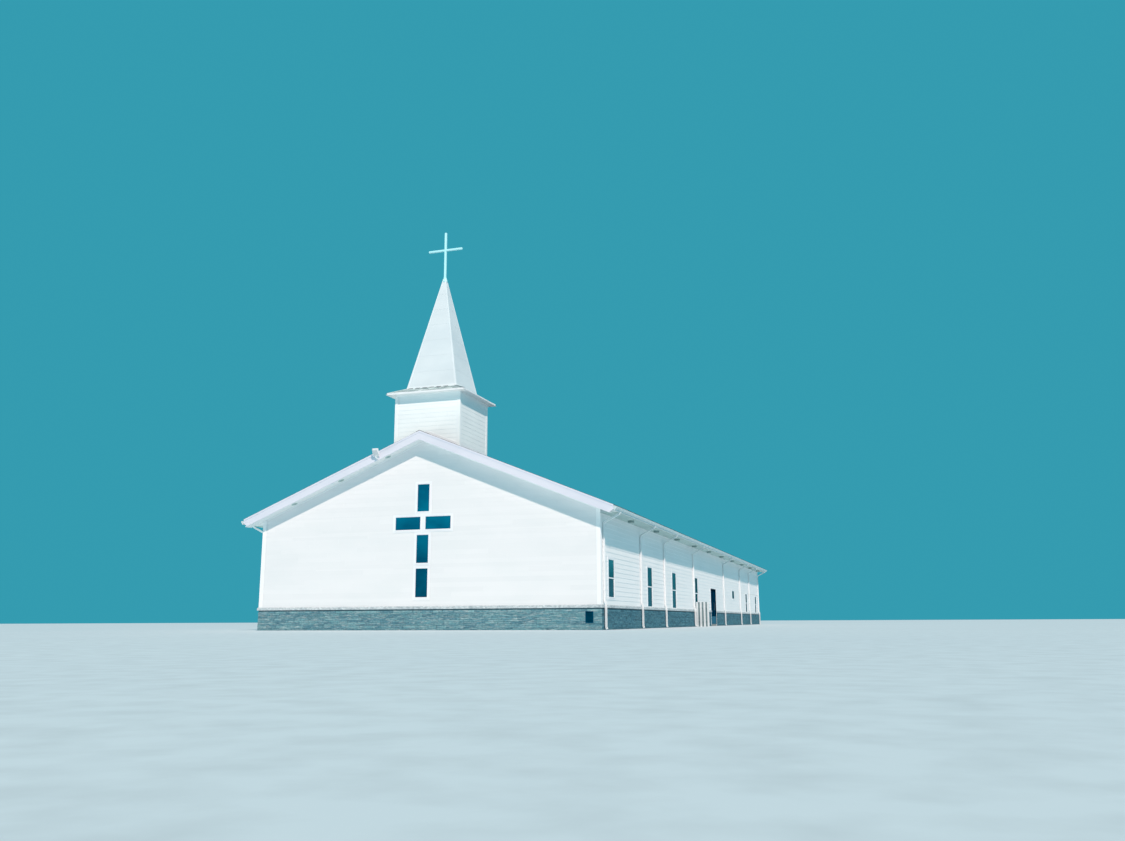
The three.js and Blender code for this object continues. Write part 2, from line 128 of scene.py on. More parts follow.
class Shape:
    """Closed solids gathered for one piece, in real metres."""

    def __init__(self):
        self.points = []
        self.faces = []
        self.count = 0

    def add(self, points, faces):
        points = np.asarray(points, float).reshape(-1, 3)
        self.faces.extend([[index + self.count for index in face] for face in faces])
        self.points.append(points)
        self.count += len(points)

    def blocks(self, corners):
        """Six-sided solids from an array of eight corners each, the four of the foot first."""
        corners = np.array(corners, float).reshape(-1, 8, 3)
        sides = [corners[:, end] - corners[:, 0] for end in (1, 3, 4)]
        turned = np.einsum("ij,ij->i", np.cross(sides[0], sides[1]), sides[2]) < 0
        corners[turned] = corners[turned][:, TURNED_BLOCK]
        starts = self.count + 8 * np.arange(len(corners))
        self.faces.extend((BLOCK_FACES[None] + starts[:, None, None]).reshape(-1, 4).tolist())
        self.points.append(corners.reshape(-1, 3))
        self.count += 8 * len(corners)

    def slabs(self, face, foot, head):
        """Blocks on a face from a foot edge to a head edge, each (left, right, height, back, front)."""
        corners = []
        for left, right, height, back, front in (foot, head):
            for u, d in ((left, back), (right, back), (right, front), (left, front)):
                corners.append(face.at(u, height, d))
        self.blocks(np.stack(np.broadcast_arrays(*corners), axis=-2))

    def block(self, face, us, vs, ds):
        """Straight blocks on a face; each of us, vs and ds is a (from, to) of numbers or arrays."""
        self.slabs(face, (*us, vs[0], *ds), (*us, vs[1], *ds))

    def ring(self, face, us, vs, ds, side, foot=None, head=None):
        """A rectangular frame inside us and vs. Its foot and head are as wide as its sides, or as given."""
        foot = side if foot is None else foot
        head = side if head is None else head
        inner = grown(us, -side)
        self.block(face, (us[0], inner[0]), vs, ds)
        self.block(face, (inner[1], us[1]), vs, ds)
        self.block(face, inner, (vs[0], vs[0] + foot), ds)
        self.block(face, inner, (vs[1] - head, vs[1]), ds)

    def loft(self, rings):
        """A closed solid through rings of as many points each."""
        rings = np.array(rings, float)
        size = rings.shape[1]
        last_start = (len(rings) - 1) * size
        faces = []
        for start in range(0, last_start, size):
            for i in range(size):
                following = (i + 1) % size
                faces.append([start + i, start + following, start + size + following, start + size + i])
        faces.append(list(range(size))[::-1])
        faces.append([last_start + i for i in range(size)])
        first = rings[0]
        edges = np.cross(first - first.mean(0), np.roll(first, -1, 0) - first.mean(0)).sum(0)
        if edges @ (rings[1].mean(0) - first.mean(0)) < 0:
            faces = [face[::-1] for face in faces]
        self.add(rings, faces)

    def plate(self, face, outline, ds):
        """An outline of (u, v) on a face, from one distance out to another."""
        u, v = np.array(outline, float).T
        self.loft([face.at(u, v, d) for d in ds])

    def run(self, face, profile, us):
        """A profile of (d, v) run along a face."""
        d, v = np.array(profile, float).T
        self.loft([face.at(u, v, d) for u in us])

    def pipe(self, face, u, path, section):
        """A section of (u, d) points swept along a path of (d, v) points, with mitred bends."""
        path = np.array(path, float)
        steps = np.diff(path, axis=0)
        steps /= np.linalg.norm(steps, axis=1)[:, None]
        normals = np.stack([-steps[:, 1], steps[:, 0]], axis=1)
        before = np.vstack([normals[:1], normals])
        after = np.vstack([normals, normals[-1:]])
        mitres = (before + after) / (1 + (before * after).sum(1))[:, None]
        across, deep = np.array(section, float).T
        self.loft([face.at(u + across, v + deep * n[1], d + deep * n[0]) for (d, v), n in zip(path, mitres)])


def placed(name, data):
    """A new object in the scene."""
    made = bpy.data.objects.new(name, data)
    bpy.context.scene.collection.objects.link(made)
    return made


def piece(shape, name, finish, body="building", replaces=()):
    """Makes one object of a shape; it rides on a body and may stand for CAD nodes."""
    points = np.concatenate(shape.points) * SCALE + ORIGIN
    mesh = bpy.data.meshes.new(name)
    mesh.from_pydata(points.tolist(), [], shape.faces)
    mesh.materials.append(finish)
    made = placed(name, mesh)
    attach(made, body)
    if replaces:
        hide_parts(*replaces)


# Camera of the photograph, in real metres from the foot of the front wall's middle
CAMERA = Sizes(place=(17.8598, -36.8605, 0.3385), yaw=0.3088, tilt=0.202, roll=-0.0043)
LENS, SENSOR_WIDTH, CLIP_END = 31.3526, 36, 2000

# Light
SUN = Sizes(travel=(-0.725, 1, -1.215), strength=3.85, colour=(1, 0.75, 0.645), softness=2)
FILL = Sizes(travel=(0.9, 0.19, 0.4), strength=1.3, colour=(1, 0.98, 0.9), softness=12)
ROOM_COLOUR = (0.035, 0.33, 0.435)


def add_camera():
    data = bpy.data.cameras.new("camera")
    data.sensor_width = SENSOR_WIDTH
    data.lens = LENS
    data.clip_end = CLIP_END
    camera = placed("camera", data)
    place = Vector(np.array(CAMERA.place) * SCALE + ORIGIN)
    turn = Matrix.Rotation(CAMERA.yaw, 4, "Z") @ Matrix.Rotation(math.pi / 2 + CAMERA.tilt, 4, "X")
    camera.matrix_world = Matrix.Translation(place) @ turn @ Matrix.Rotation(CAMERA.roll, 4, "Z")
    bpy.context.scene.camera = camera


def add_light():
    """A soft sun from the front right, a weak fill from the lower left, and a blue light all round."""
    for name, source in (("key", SUN), ("fill", FILL)):
        light = bpy.data.lights.new(name, "SUN")
        light.energy = source.strength
        light.color = source.colour
        light.angle = math.radians(source.softness)
        lamp = placed(name, light)
        lamp.rotation_mode = "QUATERNION"
        lamp.rotation_quaternion = Vector(source.travel).to_track_quat("-Z", "Y")
    world = bpy.data.worlds.new("room")
    world.use_nodes = True
    world.node_tree.nodes["Background"].inputs["Color"].default_value = (*ROOM_COLOUR, 1)
    bpy.context.scene.world = world
    bpy.context.scene.view_settings.view_transform = "Standard"


def tone(red, green, blue):
    """A linear colour from one as it shows on a screen, out of 255."""
    shown = np.array([red, green, blue]) / 255
    linear = np.where(shown <= 0.04045, shown / 12.92, ((shown + 0.055) / 1.055) ** 2.4)
    return (*linear, 1)


def tones(stops):
    return [(place, tone(*colour)) for place, colour in stops]


def socket(entries, name):
    """A node's input or output by its name or, where several share it, by its identifier."""
    return next(entry for entry in entries if name in (entry.name, entry.identifier))


class Finish:
    """A node material. Sizes of its textures are model metres."""

    def __init__(self, name, roughness, metallic=0.0, specular=0.5):
        self.material = bpy.data.materials.new(name)
        self.material.use_nodes = True
        self.nodes = self.material.node_tree.nodes
        self.shader = self.nodes["Principled BSDF"]
        self.set(self.shader, {"Roughness": roughness, "Metallic": metallic, "Specular IOR Level": specular})
        self.place = self.node("ShaderNodeTexCoord", "Object")
        self.island = self.node("ShaderNodeNewGeometry", "Random Per Island")

    def set(self, node, inputs):
        """Gives inputs their numbers or colours, or links them to other nodes' outputs."""
        for name, value in inputs.items():
            entry = socket(node.inputs, name)
            if isinstance(value, bpy.types.NodeSocket):
                self.material.node_tree.links.new(value, entry)
            else:
                entry.default_value = value

    def node(self, kind, output, inputs=None, **settings):
        made = self.nodes.new(kind)
        for name, value in settings.items():
            setattr(made, name, value)
        self.set(made, inputs or {})
        return socket(made.outputs, output)

    def noise(self, size, detail=4.0):
        """Noise whose blotches have a size along x, y and z."""
        scale = (1 / np.broadcast_to(size, 3)).tolist()
        place = self.node("ShaderNodeMapping", "Vector", {"Scale": scale, "Vector": self.place})
        return self.node("ShaderNodeTexNoise", "Fac", {"Scale": 1, "Detail": detail, "Vector": place})

    def height_share(self, low, high):
        """How far up from low to high a point is, from 0 to 1."""
        height = self.node("ShaderNodeSeparateXYZ", "Z", {"Vector": self.place})
        return self.share(height, low, high)

    def share(self, value, low, high):
        """Brings low to 0 and high to 1."""
        return self.node("ShaderNodeMapRange", "Result", {"From Min": low, "From Max": high, "Value": value})

    def ramp(self, value, stops):
        made = self.nodes.new("ShaderNodeValToRGB")
        elements = made.color_ramp.elements
        while len(elements) < len(stops):
            elements.new(0.5)
        for element, (place, colour) in zip(elements, stops):
            element.position = place
            element.color = colour
        self.set(made, {"Fac": value})
        return made.outputs["Color"]

    def blend(self, share, first, second, mode="MIX"):
        inputs = {"Factor_Float": share, "A_Color": first, "B_Color": second}
        return self.node("ShaderNodeMix", "Result_Color", inputs, data_type="RGBA", blend_type=mode)

    def shaded(self, colour, value, low, high):
        """A colour times a shade that follows a value. low and high are each (place, shade)."""
        shades = self.ramp(value, [(place, (*shade, 1)) for place, shade in (low, high)])
        return self.blend(1.0, colour, shades, "MULTIPLY")

    def colour(self, value):
        self.set(self.shader, {"Base Color": value})

    def rough(self, value, low, high):
        range_of = {"To Min": low, "To Max": high, "Value": value}
        self.set(self.shader, {"Roughness": self.node("ShaderNodeMapRange", "Result", range_of)})

    def bumped(self, value, depth, strength):
        """The material, with a bump that follows a value."""
        inputs = {"Strength": strength, "Distance": depth, "Height": value}
        self.set(self.shader, {"Normal": self.node("ShaderNodeBump", "Normal", inputs)})
        return self.material


def painted(name, light, dark, grain, roughness=0.5, streak=(0.9, 0.9, 0.5)):
    """Paint with faint weather streaks, a tone of its own for each board and a fine grain."""
    made = Finish(name, roughness, specular=0.35)
    weather = made.ramp(made.noise(streak, 5), tones([(0.35, dark), (0.6, light)]))
    made.colour(made.shaded(weather, made.island, (0.0, (0.965, 0.97, 0.972)), (1.0, (1, 1, 1))))
    fine = made.noise(grain, 6)
    made.rough(fine, roughness - 0.08, roughness + 0.1)
    return made.bumped(fine, 0.0006, 0.4)


def stone(name, stops, streaks, roughness=0.85):
    """Split stone: each block has a tone of its own, with bedding streaks along it and darker patches."""
    made = Finish(name, roughness, specular=0.3)
    block = made.ramp(made.island, tones(stops))
    bedding = made.share(made.noise((0.12, 0.12, 0.012), 6), 0.5, 0.72)
    streaked = made.blend(bedding, block, tone(*streaks))
    patches = made.noise((0.05, 0.05, 0.03), 8)
    made.colour(made.shaded(streaked, patches, (0.3, (0.62, 0.64, 0.66)), (0.7, (1.12, 1.1, 1.08))))
    return made.bumped(made.noise((0.03, 0.03, 0.012), 9), 0.006, 0.9)


def shingled(name, stops):
    """Asphalt shingles: blended tones from tab to tab, a sand of granules and faded patches."""
    made = Finish(name, 0.92, specular=0.2)
    tab = made.ramp(made.island, tones(stops))
    granules = made.noise(0.004, 2)
    gritty = made.shaded(tab, granules, (0.3, (0.55, 0.56, 0.58)), (0.7, (1.35, 1.34, 1.32)))
    fade = made.noise(2.2, 4)
    made.colour(made.shaded(gritty, fade, (0.35, (0.85, 0.87, 0.9)), (0.65, (1.08, 1.07, 1.06))))
    return made.bumped(made.noise(0.003, 3), 0.0015, 0.8)


def glazed(name, low, high, foot, head, specular=0.25):
    """Glass painted dark for the unlit room behind it, with painted reflections: a tint from foot to head
    and a mottle.
    """
    made = Finish(name, 0.04, specular=specular)
    tint = made.ramp(made.height_share(foot * SCALE, head * SCALE), tones([(0.0, low), (1.0, high)]))
    painted_sky_reflection = made.noise((0.5, 0.5, 0.3), 3)
    made.colour(made.shaded(tint, painted_sky_reflection, (0.35, (0.7, 0.75, 0.8)), (0.65, (1.25, 1.2, 1.15))))
    made.rough(made.noise(0.2, 3), 0.02, 0.09)
    return made.bumped(made.noise(0.25, 1), 0.002, 0.15)


def metal(name, light, dark, roughness, metallic, specular=0.5):
    """Coated or bare metal with a fine mottle and rubbed patches."""
    made = Finish(name, roughness, metallic, specular)
    made.colour(made.ramp(made.noise((0.08, 0.08, 0.2), 6), tones([(0.35, dark), (0.65, light)])))
    made.rough(made.noise((0.02, 0.02, 0.05), 5), roughness - 0.08, roughness + 0.12)
    return made.bumped(made.noise(0.01, 3), 0.0003, 0.3)


def mineral(name, light, dark, size, roughness=0.85):
    """Concrete, plaster or ground: soft clouds with fine pores."""
    made = Finish(name, roughness, specular=0.3)
    clouds = made.ramp(made.noise(size, 6), tones([(0.3, dark), (0.7, light)]))
    made.colour(made.shaded(clouds, made.noise(size / 40, 4), (0.3, (0.9, 0.9, 0.9)), (0.6, (1, 1, 1))))
    return made.bumped(made.noise(size / 60, 4), 0.001, 0.5)


# Paints: name, light and dark tone, size of the grain, roughness and size of the streaks
BOARD_GRAIN = (0.3, 0.3, 0.006)
UPRIGHT_GRAIN = (0.02, 0.02, 0.3)
GUTTER_GRAIN = (0.06, 0.06, 0.02)
GUTTER_STREAKS = (0.2, 0.2, 1.2)
SIDING = painted("lap siding", (242, 247, 250), (239, 245, 248), BOARD_GRAIN, 0.52)
# The front wall's siding is a darker copy of the lap siding: painted shade that evens out the fill light on
# it
FRONT_SIDING_PAINTED_SHADE = painted("front lap siding with painted shade", (232, 236, 239), (229, 234, 237), BOARD_GRAIN, 0.52)
# The tower's siding is a lighter copy of the lap siding: painted light that lifts the dimmer light on the
# tower
TOWER_SIDING_PAINTED_LIGHT = painted("tower siding with painted light", (243, 252, 254), (237, 246, 249), BOARD_GRAIN, 0.52)
TRIM = painted("white trim", (240, 245, 249), (234, 240, 245), 0.05, 0.42)
RAKE_TRIM = painted("rake trim", (222, 227, 239), (216, 222, 235), 0.05, 0.42)
SPIRE_STRIPS = painted("spire strips", (228, 240, 245), (222, 235, 241), 0.05, 0.42)
CROSS_PAINT = painted("cross enamel", (190, 248, 255), (182, 243, 252), 0.05, 0.42)
# The ends of the boxes under the eaves get a dark grey-teal paint: painted shade under the rake overhang
RETURNS_PAINTED_SHADE = painted("eave return plates with painted shade", (140, 168, 175), (132, 160, 168), 0.05)
CLADDING = painted("spire cladding", (218, 231, 237), (211, 225, 232), 0.12, 0.45)
# The troughs are a darker copy of the gutter enamel: painted shade
TROUGHS_PAINTED_SHADE = painted("gutter troughs with painted shade", (205, 222, 225), (197, 214, 218), GUTTER_GRAIN, 0.32, GUTTER_STREAKS)
GUTTERS = painted("gutter enamel", (240, 245, 247), (230, 237, 240), GUTTER_GRAIN, 0.32, GUTTER_STREAKS)
# The outlets are a slightly darker copy of the gutter enamel: painted shade that dulls their sunlit faces
OUTLETS_PAINTED_SHADE = painted("gutter outlets with painted shade", (232, 242, 246), (224, 235, 240), GUTTER_GRAIN, 0.5, GUTTER_STREAKS)
# The rake soffit panels are as white as paint goes, to lift the shade under the rakes: partly painted light
SOFFIT = painted("rake soffit panels", (252, 255, 255), (246, 252, 253), 0.1)
# The panels under the eaves, and the rims of the soffit lights, take a darker copy of the soffit paint:
# painted shade
EAVE_SOFFIT_PAINTED_SHADE = painted("panels under the eaves with painted shade", (190, 214, 210), (180, 205, 202), 0.1)
# The casing under the right eave is a darker copy of the soffit paint: painted shade; the left one keeps the
# soffit paint
EAVE_BOX_PAINTED_SHADE = painted("right eave casing with painted shade", (176, 194, 198), (166, 185, 190), 0.1)
SCREEN_BOARDS = painted("screen boards", (214, 224, 228), (202, 214, 219), UPRIGHT_GRAIN)
# The screen's back boards and rails are a grey copy of its white boards: painted shade between the white
# boards
BACK_BOARDS_PAINTED_SHADE = painted("screen back boards with painted shade", (124, 150, 156), (110, 136, 143), UPRIGHT_GRAIN, 0.6)

# Stones and shingles: tones from block to block, as (share of the blocks, tone)
STONE_TONES = (
    (0, (78, 126, 142)),
    (0.22, (95, 146, 161)),
    (0.45, (106, 158, 169)),
    (0.6, (112, 160, 170)),
    (0.72, (86, 136, 151)),
    (0.9, (123, 172, 181)),
    (1, (96, 144, 157)),
)
# A darker copy of the stone tones, for the side walls: painted shade
SHADED_TONES = (
    (0, (48, 98, 116)),
    (0.35, (64, 120, 140)),
    (0.7, (74, 132, 150)),
    (0.9, (78, 130, 146)),
    (1, (92, 146, 162)),
)
LEDGE_TONES = ((0, (180, 196, 203)), (0.5, (195, 210, 216)), (1, (206, 218, 223)))
ROOF_TONES = ((0, (62, 70, 78)), (0.35, (84, 92, 99)), (0.7, (103, 110, 116)), (1, (128, 132, 134)))
# A much lighter copy of the shingle tones, for the steeple's skirt: painted light on its dim slopes
SKIRT_TONES_PAINTED_LIGHT = ((0, (122, 140, 146)), (0.3, (168, 188, 190)), (0.7, (205, 222, 222)), (1, (228, 240, 239)))
STONES = stone("front ledgestone", STONE_TONES, (172, 192, 196))
SIDE_STONES_PAINTED_SHADE = stone("ledgestone of the sides with painted shade", SHADED_TONES, (98, 148, 164))
LEDGE = stone("cut ledge stone", LEDGE_TONES, (220, 229, 232), 0.75)
SHINGLES = shingled("asphalt shingles", ROOF_TONES)
SKIRT_SHINGLES_PAINTED_LIGHT = shingled("shingles of the skirt with painted light", SKIRT_TONES_PAINTED_LIGHT)
BACKING = mineral("mortar", (80, 112, 122), (62, 92, 102), 0.4)
PLASTER = mineral("painted plaster", (228, 229, 226), (219, 221, 218), 1.2, 0.8)
CONCRETE = mineral("trowelled concrete", (158, 160, 158), (136, 139, 139), 0.9, 0.6)
GROUND = mineral("pale ground", (207, 221, 227), (203, 217, 224), 6.0, 0.9)

# Glass: low and high tint, and the heights that they belong to
# The glass is painted dark for the unlit rooms, and each set of panes has its own painted reflections and
# shade
CROSS_GLASS = glazed("gable glass", (0, 66, 92), (0, 98, 128), 1.3, 4.6)
UPPER_GLASS = glazed("upper side glass", (0, 56, 66), (14, 62, 78), 2.0, 2.75)
NEAR_GLASS = glazed("upper glass near the front", (0, 54, 66), (30, 106, 120), 2.0, 2.75)
LOWER_GLASS = glazed("lower side glass", (36, 67, 83), (40, 70, 85), 1.0, 1.9)
FAR_GLASS = glazed("far side glass", (0, 30, 45), (0, 34, 48), 1.0, 2.75, 0.05)
DOOR_GLASS = glazed("door glass", (0, 56, 84), (0, 49, 75), 0.3, 2.2, 0.0)

# Metals: light and dark tone, roughness, metallic share and gloss
DOOR_METAL = metal("dark blue aluminium", (2, 32, 50), (0, 26, 42), 0.6, 0.0, 0.0)
KICK_METAL = metal("blue kick plate", (38, 108, 136), (30, 96, 122), 0.6, 0.0, 0.1)
FITTING_METAL = metal("brushed fittings", (84, 104, 114), (66, 86, 96), 0.35, 0.8)
FLASHING = metal("galvanised flashing", (196, 203, 206), (172, 180, 184), 0.45, 0.5)
VENT_METAL = metal("vent louvres", (0, 78, 108), (0, 66, 94), 0.6, 0.0, 0.0)
LAMP_METAL = metal("lamp housing", (240, 245, 248), (228, 235, 239), 0.45, 0.0)
LAMP_GLASS = metal("lamp lens", (236, 242, 243), (218, 226, 228), 0.1, 0.0)
CAN_METAL = metal("downlight cans", (170, 190, 192), (154, 176, 179), 0.5, 0.0)
DRUM_METAL = metal("drum lights", (138, 162, 160), (124, 149, 148), 0.5, 0.0)

# Finishes of the CAD nodes that stay, beside the walls and the stone base
NODE_FINISHES = {
    "floor_slab": CONCRETE,
    "left_roof": SOFFIT,
    "right_roof": SOFFIT,
    "left_eave_soffit": SOFFIT,
    # The right one takes the darker copy, which carries painted shade
    "right_eave_soffit": EAVE_BOX_PAINTED_SHADE,
    "steeple_tower": SIDING,
    "steeple_skirt_roof": TRIM,
    "spire": CLADDING,
    "door_frame": DOOR_METAL,
}


def finish_nodes():
    for node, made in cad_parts.items():
        finish = PLASTER if "_wall" in node else BACKING if "stone_base" in node else NODE_FINISHES.get(node)
        if finish:
            made.data.materials.clear()
            made.data.materials.append(finish)


GROUND_HALF = 600


def add_floor():
    """A plain floor. It casts no shadow, so that the fill light comes through it."""
    mesh = bpy.data.meshes.new("ground")
    corners = [(x * GROUND_HALF, y * GROUND_HALF, 0) for x, y in ((-1, -1), (1, -1), (1, 1), (-1, 1))]
    mesh.from_pydata(corners, [], [(0, 1, 2, 3)])
    mesh.materials.append(GROUND)
    ground = placed("ground", mesh)
    ground.visible_shadow = False


# Siding. Boards butt at joints that step from course to course, and none is shorter than LAP.short
LAP = Sizes(course=0.188, head=0.003, length=3.66, stagger=0.381, butt=0.001, short=0.3)
LAP_STRETCH = (-60, 70)
LEAST_CUT = 0.004
LEVEL_PLAY = 0.001
GABLE_TIP = 0.01
LIPS = {"front": 0.007, "rear": 0.007, "left": 0.014, "right": 0.014, "tower": 0.008}
CORNER = Sizes(width=0.15, proud=0.018, play=0.008)
GABLE_STRIP = Sizes(half=7.45, width=0.06)
EAVE_STRIP_WIDTH = 0.05
STRIP_SHARE = 0.8


def lap_boards(shape, face, foot, head, spans, lip, breaks=()):
    """Lapped boards from foot to head. spans(v) gives the stretches of u that they cover at a height."""
    course, butt, short = LAP.course, LAP.butt, LAP.short
    for number in range(math.ceil((head - foot) / course)):
        low = foot + number * course
        high = min(low + course, head)
        inner = sorted(v for v in breaks if low + LEAST_CUT < v < high - LEAST_CUT)
        cuts = [low, *inner, high]
        first = (number * LAP.stagger % 1) * LAP.length + LAP_STRETCH[0]
        joints = np.arange(first, LAP_STRETCH[1], LAP.length)
        for v0, v1 in zip(cuts, cuts[1:]):
            thick0, thick1 = (lip + (LAP.head - lip) * (v - low) / course for v in (v0, v1))
            for (a0, b0), (a1, b1) in zip(spans(v0 + LEVEL_PLAY), spans(v1 - LEVEL_PLAY)):
                within = joints[(joints > max(a0, a1) + short) & (joints < min(b0, b1) - short)]
                lefts, rights = within + butt, within - butt
                at_foot = (np.append(a0, lefts), np.append(rights, b0), v0, 0, thick0)
                at_head = (np.append(a1, lefts), np.append(rights, b1), v1, 0, thick1)
                shape.slabs(face, at_foot, at_head)


def without(left, right, holes, v):
    """The stretch from left to right, less the holes (left, right, foot, head) at height v."""
    stretches = [(left, right)]
    for hole_left, hole_right, foot, head in sorted(holes):
        if foot < v < head:
            start, end = stretches.pop()
            stretches += [(start, hole_left), (hole_right, end)]
    return stretches


def holes_on(face, nodes):
    return [(*us, *vs) for us, vs, _ in map(face.spread, nodes)]


def windows_in(wall):
    start = "cross_window" if wall == "front" else f"{wall}_window"
    return [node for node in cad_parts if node.startswith(start)]


def under_rake(x):
    return RIDGE_TOP - ROOF_DEPTH - PITCH * abs(x)


def wall_spans(is_gable, holes, v):
    """The stretches of a hall wall at a height, less its holes."""
    if not is_gable:
        return without(0, LENGTH, holes, v)
    half = min(HALF_WIDTH, max((RIDGE_TOP - ROOF_DEPTH - v) / PITCH, GABLE_TIP))
    return without(-half, half, holes, v)


def add_hall_siding():
    for name, face in WALLS.items():
        is_gable = name in GABLES
        doors = ["door_frame"] if name == "right" else []
        holes = holes_on(face, windows_in(name) + doors)
        levels = [under_rake(HALF_WIDTH), *(v for hole in holes for v in hole[2:])]
        top = under_rake(0) - GABLE_TIP if is_gable else SOFFIT_Z
        boards = Shape()
        lap_boards(boards, face, LEDGE_TOP, top, partial(wall_spans, is_gable, holes), LIPS[name], levels)
        # The front wall takes the darker copy of the siding, which carries painted shade
        piece(boards, f"{name}_siding", FRONT_SIDING_PAINTED_SHADE if name == "front" else SIDING)


def add_corner_boards():
    """White boards on both sides of each corner of the hall, and a strip under the soffits."""
    width, proud, play = CORNER.width, CORNER.proud, CORNER.play
    strip_ds = (0, proud * STRIP_SHARE)
    half, strip_width = GABLE_STRIP.half, GABLE_STRIP.width
    trim = Shape()
    for face in GABLES.values():
        for side in (-1, 1):
            xs = (side * (HALF_WIDTH - width), side * (HALF_WIDTH + proud))
            outline = [(x, LEDGE_TOP) for x in xs] + [(x, under_rake(x) - play) for x in xs[::-1]]
            trim.plate(face, outline, (0, proud))
            corners = ((0, 0), (half, 0), (half, strip_width), (0, strip_width))
            trim.plate(face, [(side * x, under_rake(x) - drop) for x, drop in corners], strip_ds)
    for face in SIDES.values():
        for us in ((0, width), (LENGTH - width, LENGTH)):
            trim.block(face, us, (LEDGE_TOP, SOFFIT_Z), (0, proud))
        trim.block(face, (width, LENGTH - width), (SOFFIT_Z - EAVE_STRIP_WIDTH, SOFFIT_Z), strip_ds)
    piece(trim, "corner_boards", SIDING)


# Panes of the side windows that differ from the others, the lower one last
# These panes carry other painted reflections: lighter near the front, and darker, nearly without gloss,
# further back
SIDE_GLASS = {f"right_window_{number}": (FAR_GLASS, FAR_GLASS) for number in range(4, 8)}
SIDE_GLASS["right_window_1"] = (NEAR_GLASS, LOWER_GLASS)
LEAST_HUNG_HEIGHT = 1
SASH = Sizes(jamb=0.012, stile=0.024, rail=0.03, foot=0.014, meeting=0.042, bead=0.005, glass=0.004)
UPPER_SASH = (-0.008, 0.018)
LOWER_SASH = (-0.02, 0.008)
FIXED_SASH = (-0.014, 0.014)
CROSS_CASING = Sizes(width=0.07, proud=0.016)
SIDE_CASING = Sizes(width=0.09, proud=0.022)

# A sill's profile: how far out of the casing and how far under the opening
SILL = ((0, 0.012), (0, 0.002), (0.008, 0.006), (0.008, 0.012))
SILL_EAR = 0.01


def casing(shape, face, us, vs, size):
    """Flat boards around an opening, with a thin sloped sill on the lower one."""
    width, proud = size.width, size.proud
    shape.ring(face, grown(us, width), grown(vs, width), (0, proud), width)
    shape.run(face, [(proud + out, vs[0] - drop) for out, drop in SILL], grown(us, SILL_EAR))


def sash(bars, panes, face, us, vs, ds, foot, head):
    """A sash: four bars, with a pane and its glazing beads between them."""
    stile, bead, glass = SASH.stile, SASH.bead, SASH.glass
    bars.ring(face, us, vs, ds, stile, foot, head)
    inner_us = grown(us, -stile)
    inner_vs = (vs[0] + foot, vs[1] - head)
    middle = (ds[0] + ds[1]) / 2
    bars.ring(face, inner_us, inner_vs, (middle + glass, ds[1] - glass), bead)
    panes.block(face, inner_us, inner_vs, (middle - glass, middle + glass))


def add_window(face, node, glass):
    """An outer frame with one fixed pane, or with an upper sash in front of a lower one for two panes."""
    us, vs, ds = face.spread(node)
    jamb, stile, meeting = SASH.jamb, SASH.stile, SASH.meeting
    bars = Shape()
    bars.ring(face, us, vs, ds, jamb)
    us, vs = grown(us, -jamb), grown(vs, -jamb)
    middle = sum(vs) / 2
    sashes = {"glass": (vs, FIXED_SASH, stile, stile)}
    if len(glass) == 2:
        sashes = {
            "upper_glass": ((middle - meeting / 2, vs[1]), UPPER_SASH, meeting, SASH.rail),
            "lower_glass": ((vs[0], middle + meeting / 2), LOWER_SASH, SASH.foot, meeting / 2),
        }
    panes = {name: Shape() for name in sashes}
    for name, size in sashes.items():
        sash(bars, panes[name], face, us, *size)
    piece(bars, f"{node}_frame", TRIM, replaces=[node])
    for (name, pane), finish in zip(panes.items(), glass):
        piece(pane, f"{node}_{name}", finish, replaces=[node])


def add_windows():
    for name in ("front", "left", "right"):
        face = WALLS[name]
        trims = Shape()
        for node in windows_in(name):
            us, vs, _ = face.spread(node)
            casing(trims, face, us, vs, CROSS_CASING if name == "front" else SIDE_CASING)
            glass = (CROSS_GLASS,) if name == "front" else SIDE_GLASS.get(node, (UPPER_GLASS, LOWER_GLASS))
            is_low = vs[1] - vs[0] < LEAST_HUNG_HEIGHT
            add_window(face, node, glass[-1:] if is_low else glass)
        piece(trims, f"{name}_window_casings", TRIM)


# Split stones: sizes, and the ranges that the shares for each stone are drawn from
ROW_HEIGHTS = (0.045, 0.06, 0.085, 0.11)
STONE = Sizes(short=0.16, long=0.62, edge=0.012, joint=0.004, deep=-0.02, proud=0.02, chip=0.009)
STONE_MIDDLES = (0.35, 0.65)
STONE_PROUD_SHARES = (0.3, 1.0)
STONE_LUMPS = (-0.25, 0.12)
STONE_EDGE_SHARE = 0.25
RAKED_JOINT = 0.045

# Sides of a stone: its rough front of five by four points, then its four sides and back
STONE_FACES = (
    [[4 * i + j, 4 * i + 4 + j, 4 * i + 5 + j, 4 * i + 1 + j] for i in range(4) for j in range(3)]
    + [[0, 20, 21, 16, 12, 8, 4], [23, 3, 7, 11, 15, 19, 22]]
    + [[20, 0, 1, 2, 3, 23], [21, 22, 19, 18, 17, 16], [20, 23, 22, 21]]
)


def split_rows(low, high, rng):
    """Heights of the courses from low to high, as thin and thick layers in turn."""
    heights = []
    while sum(heights) < high - low:
        heights.append(ROW_HEIGHTS[rng.integers(len(ROW_HEIGHTS))])
    edges = low + np.concatenate([[0], np.cumsum(heights)]) * (high - low) / sum(heights)
    return list(zip(edges, edges[1:]))


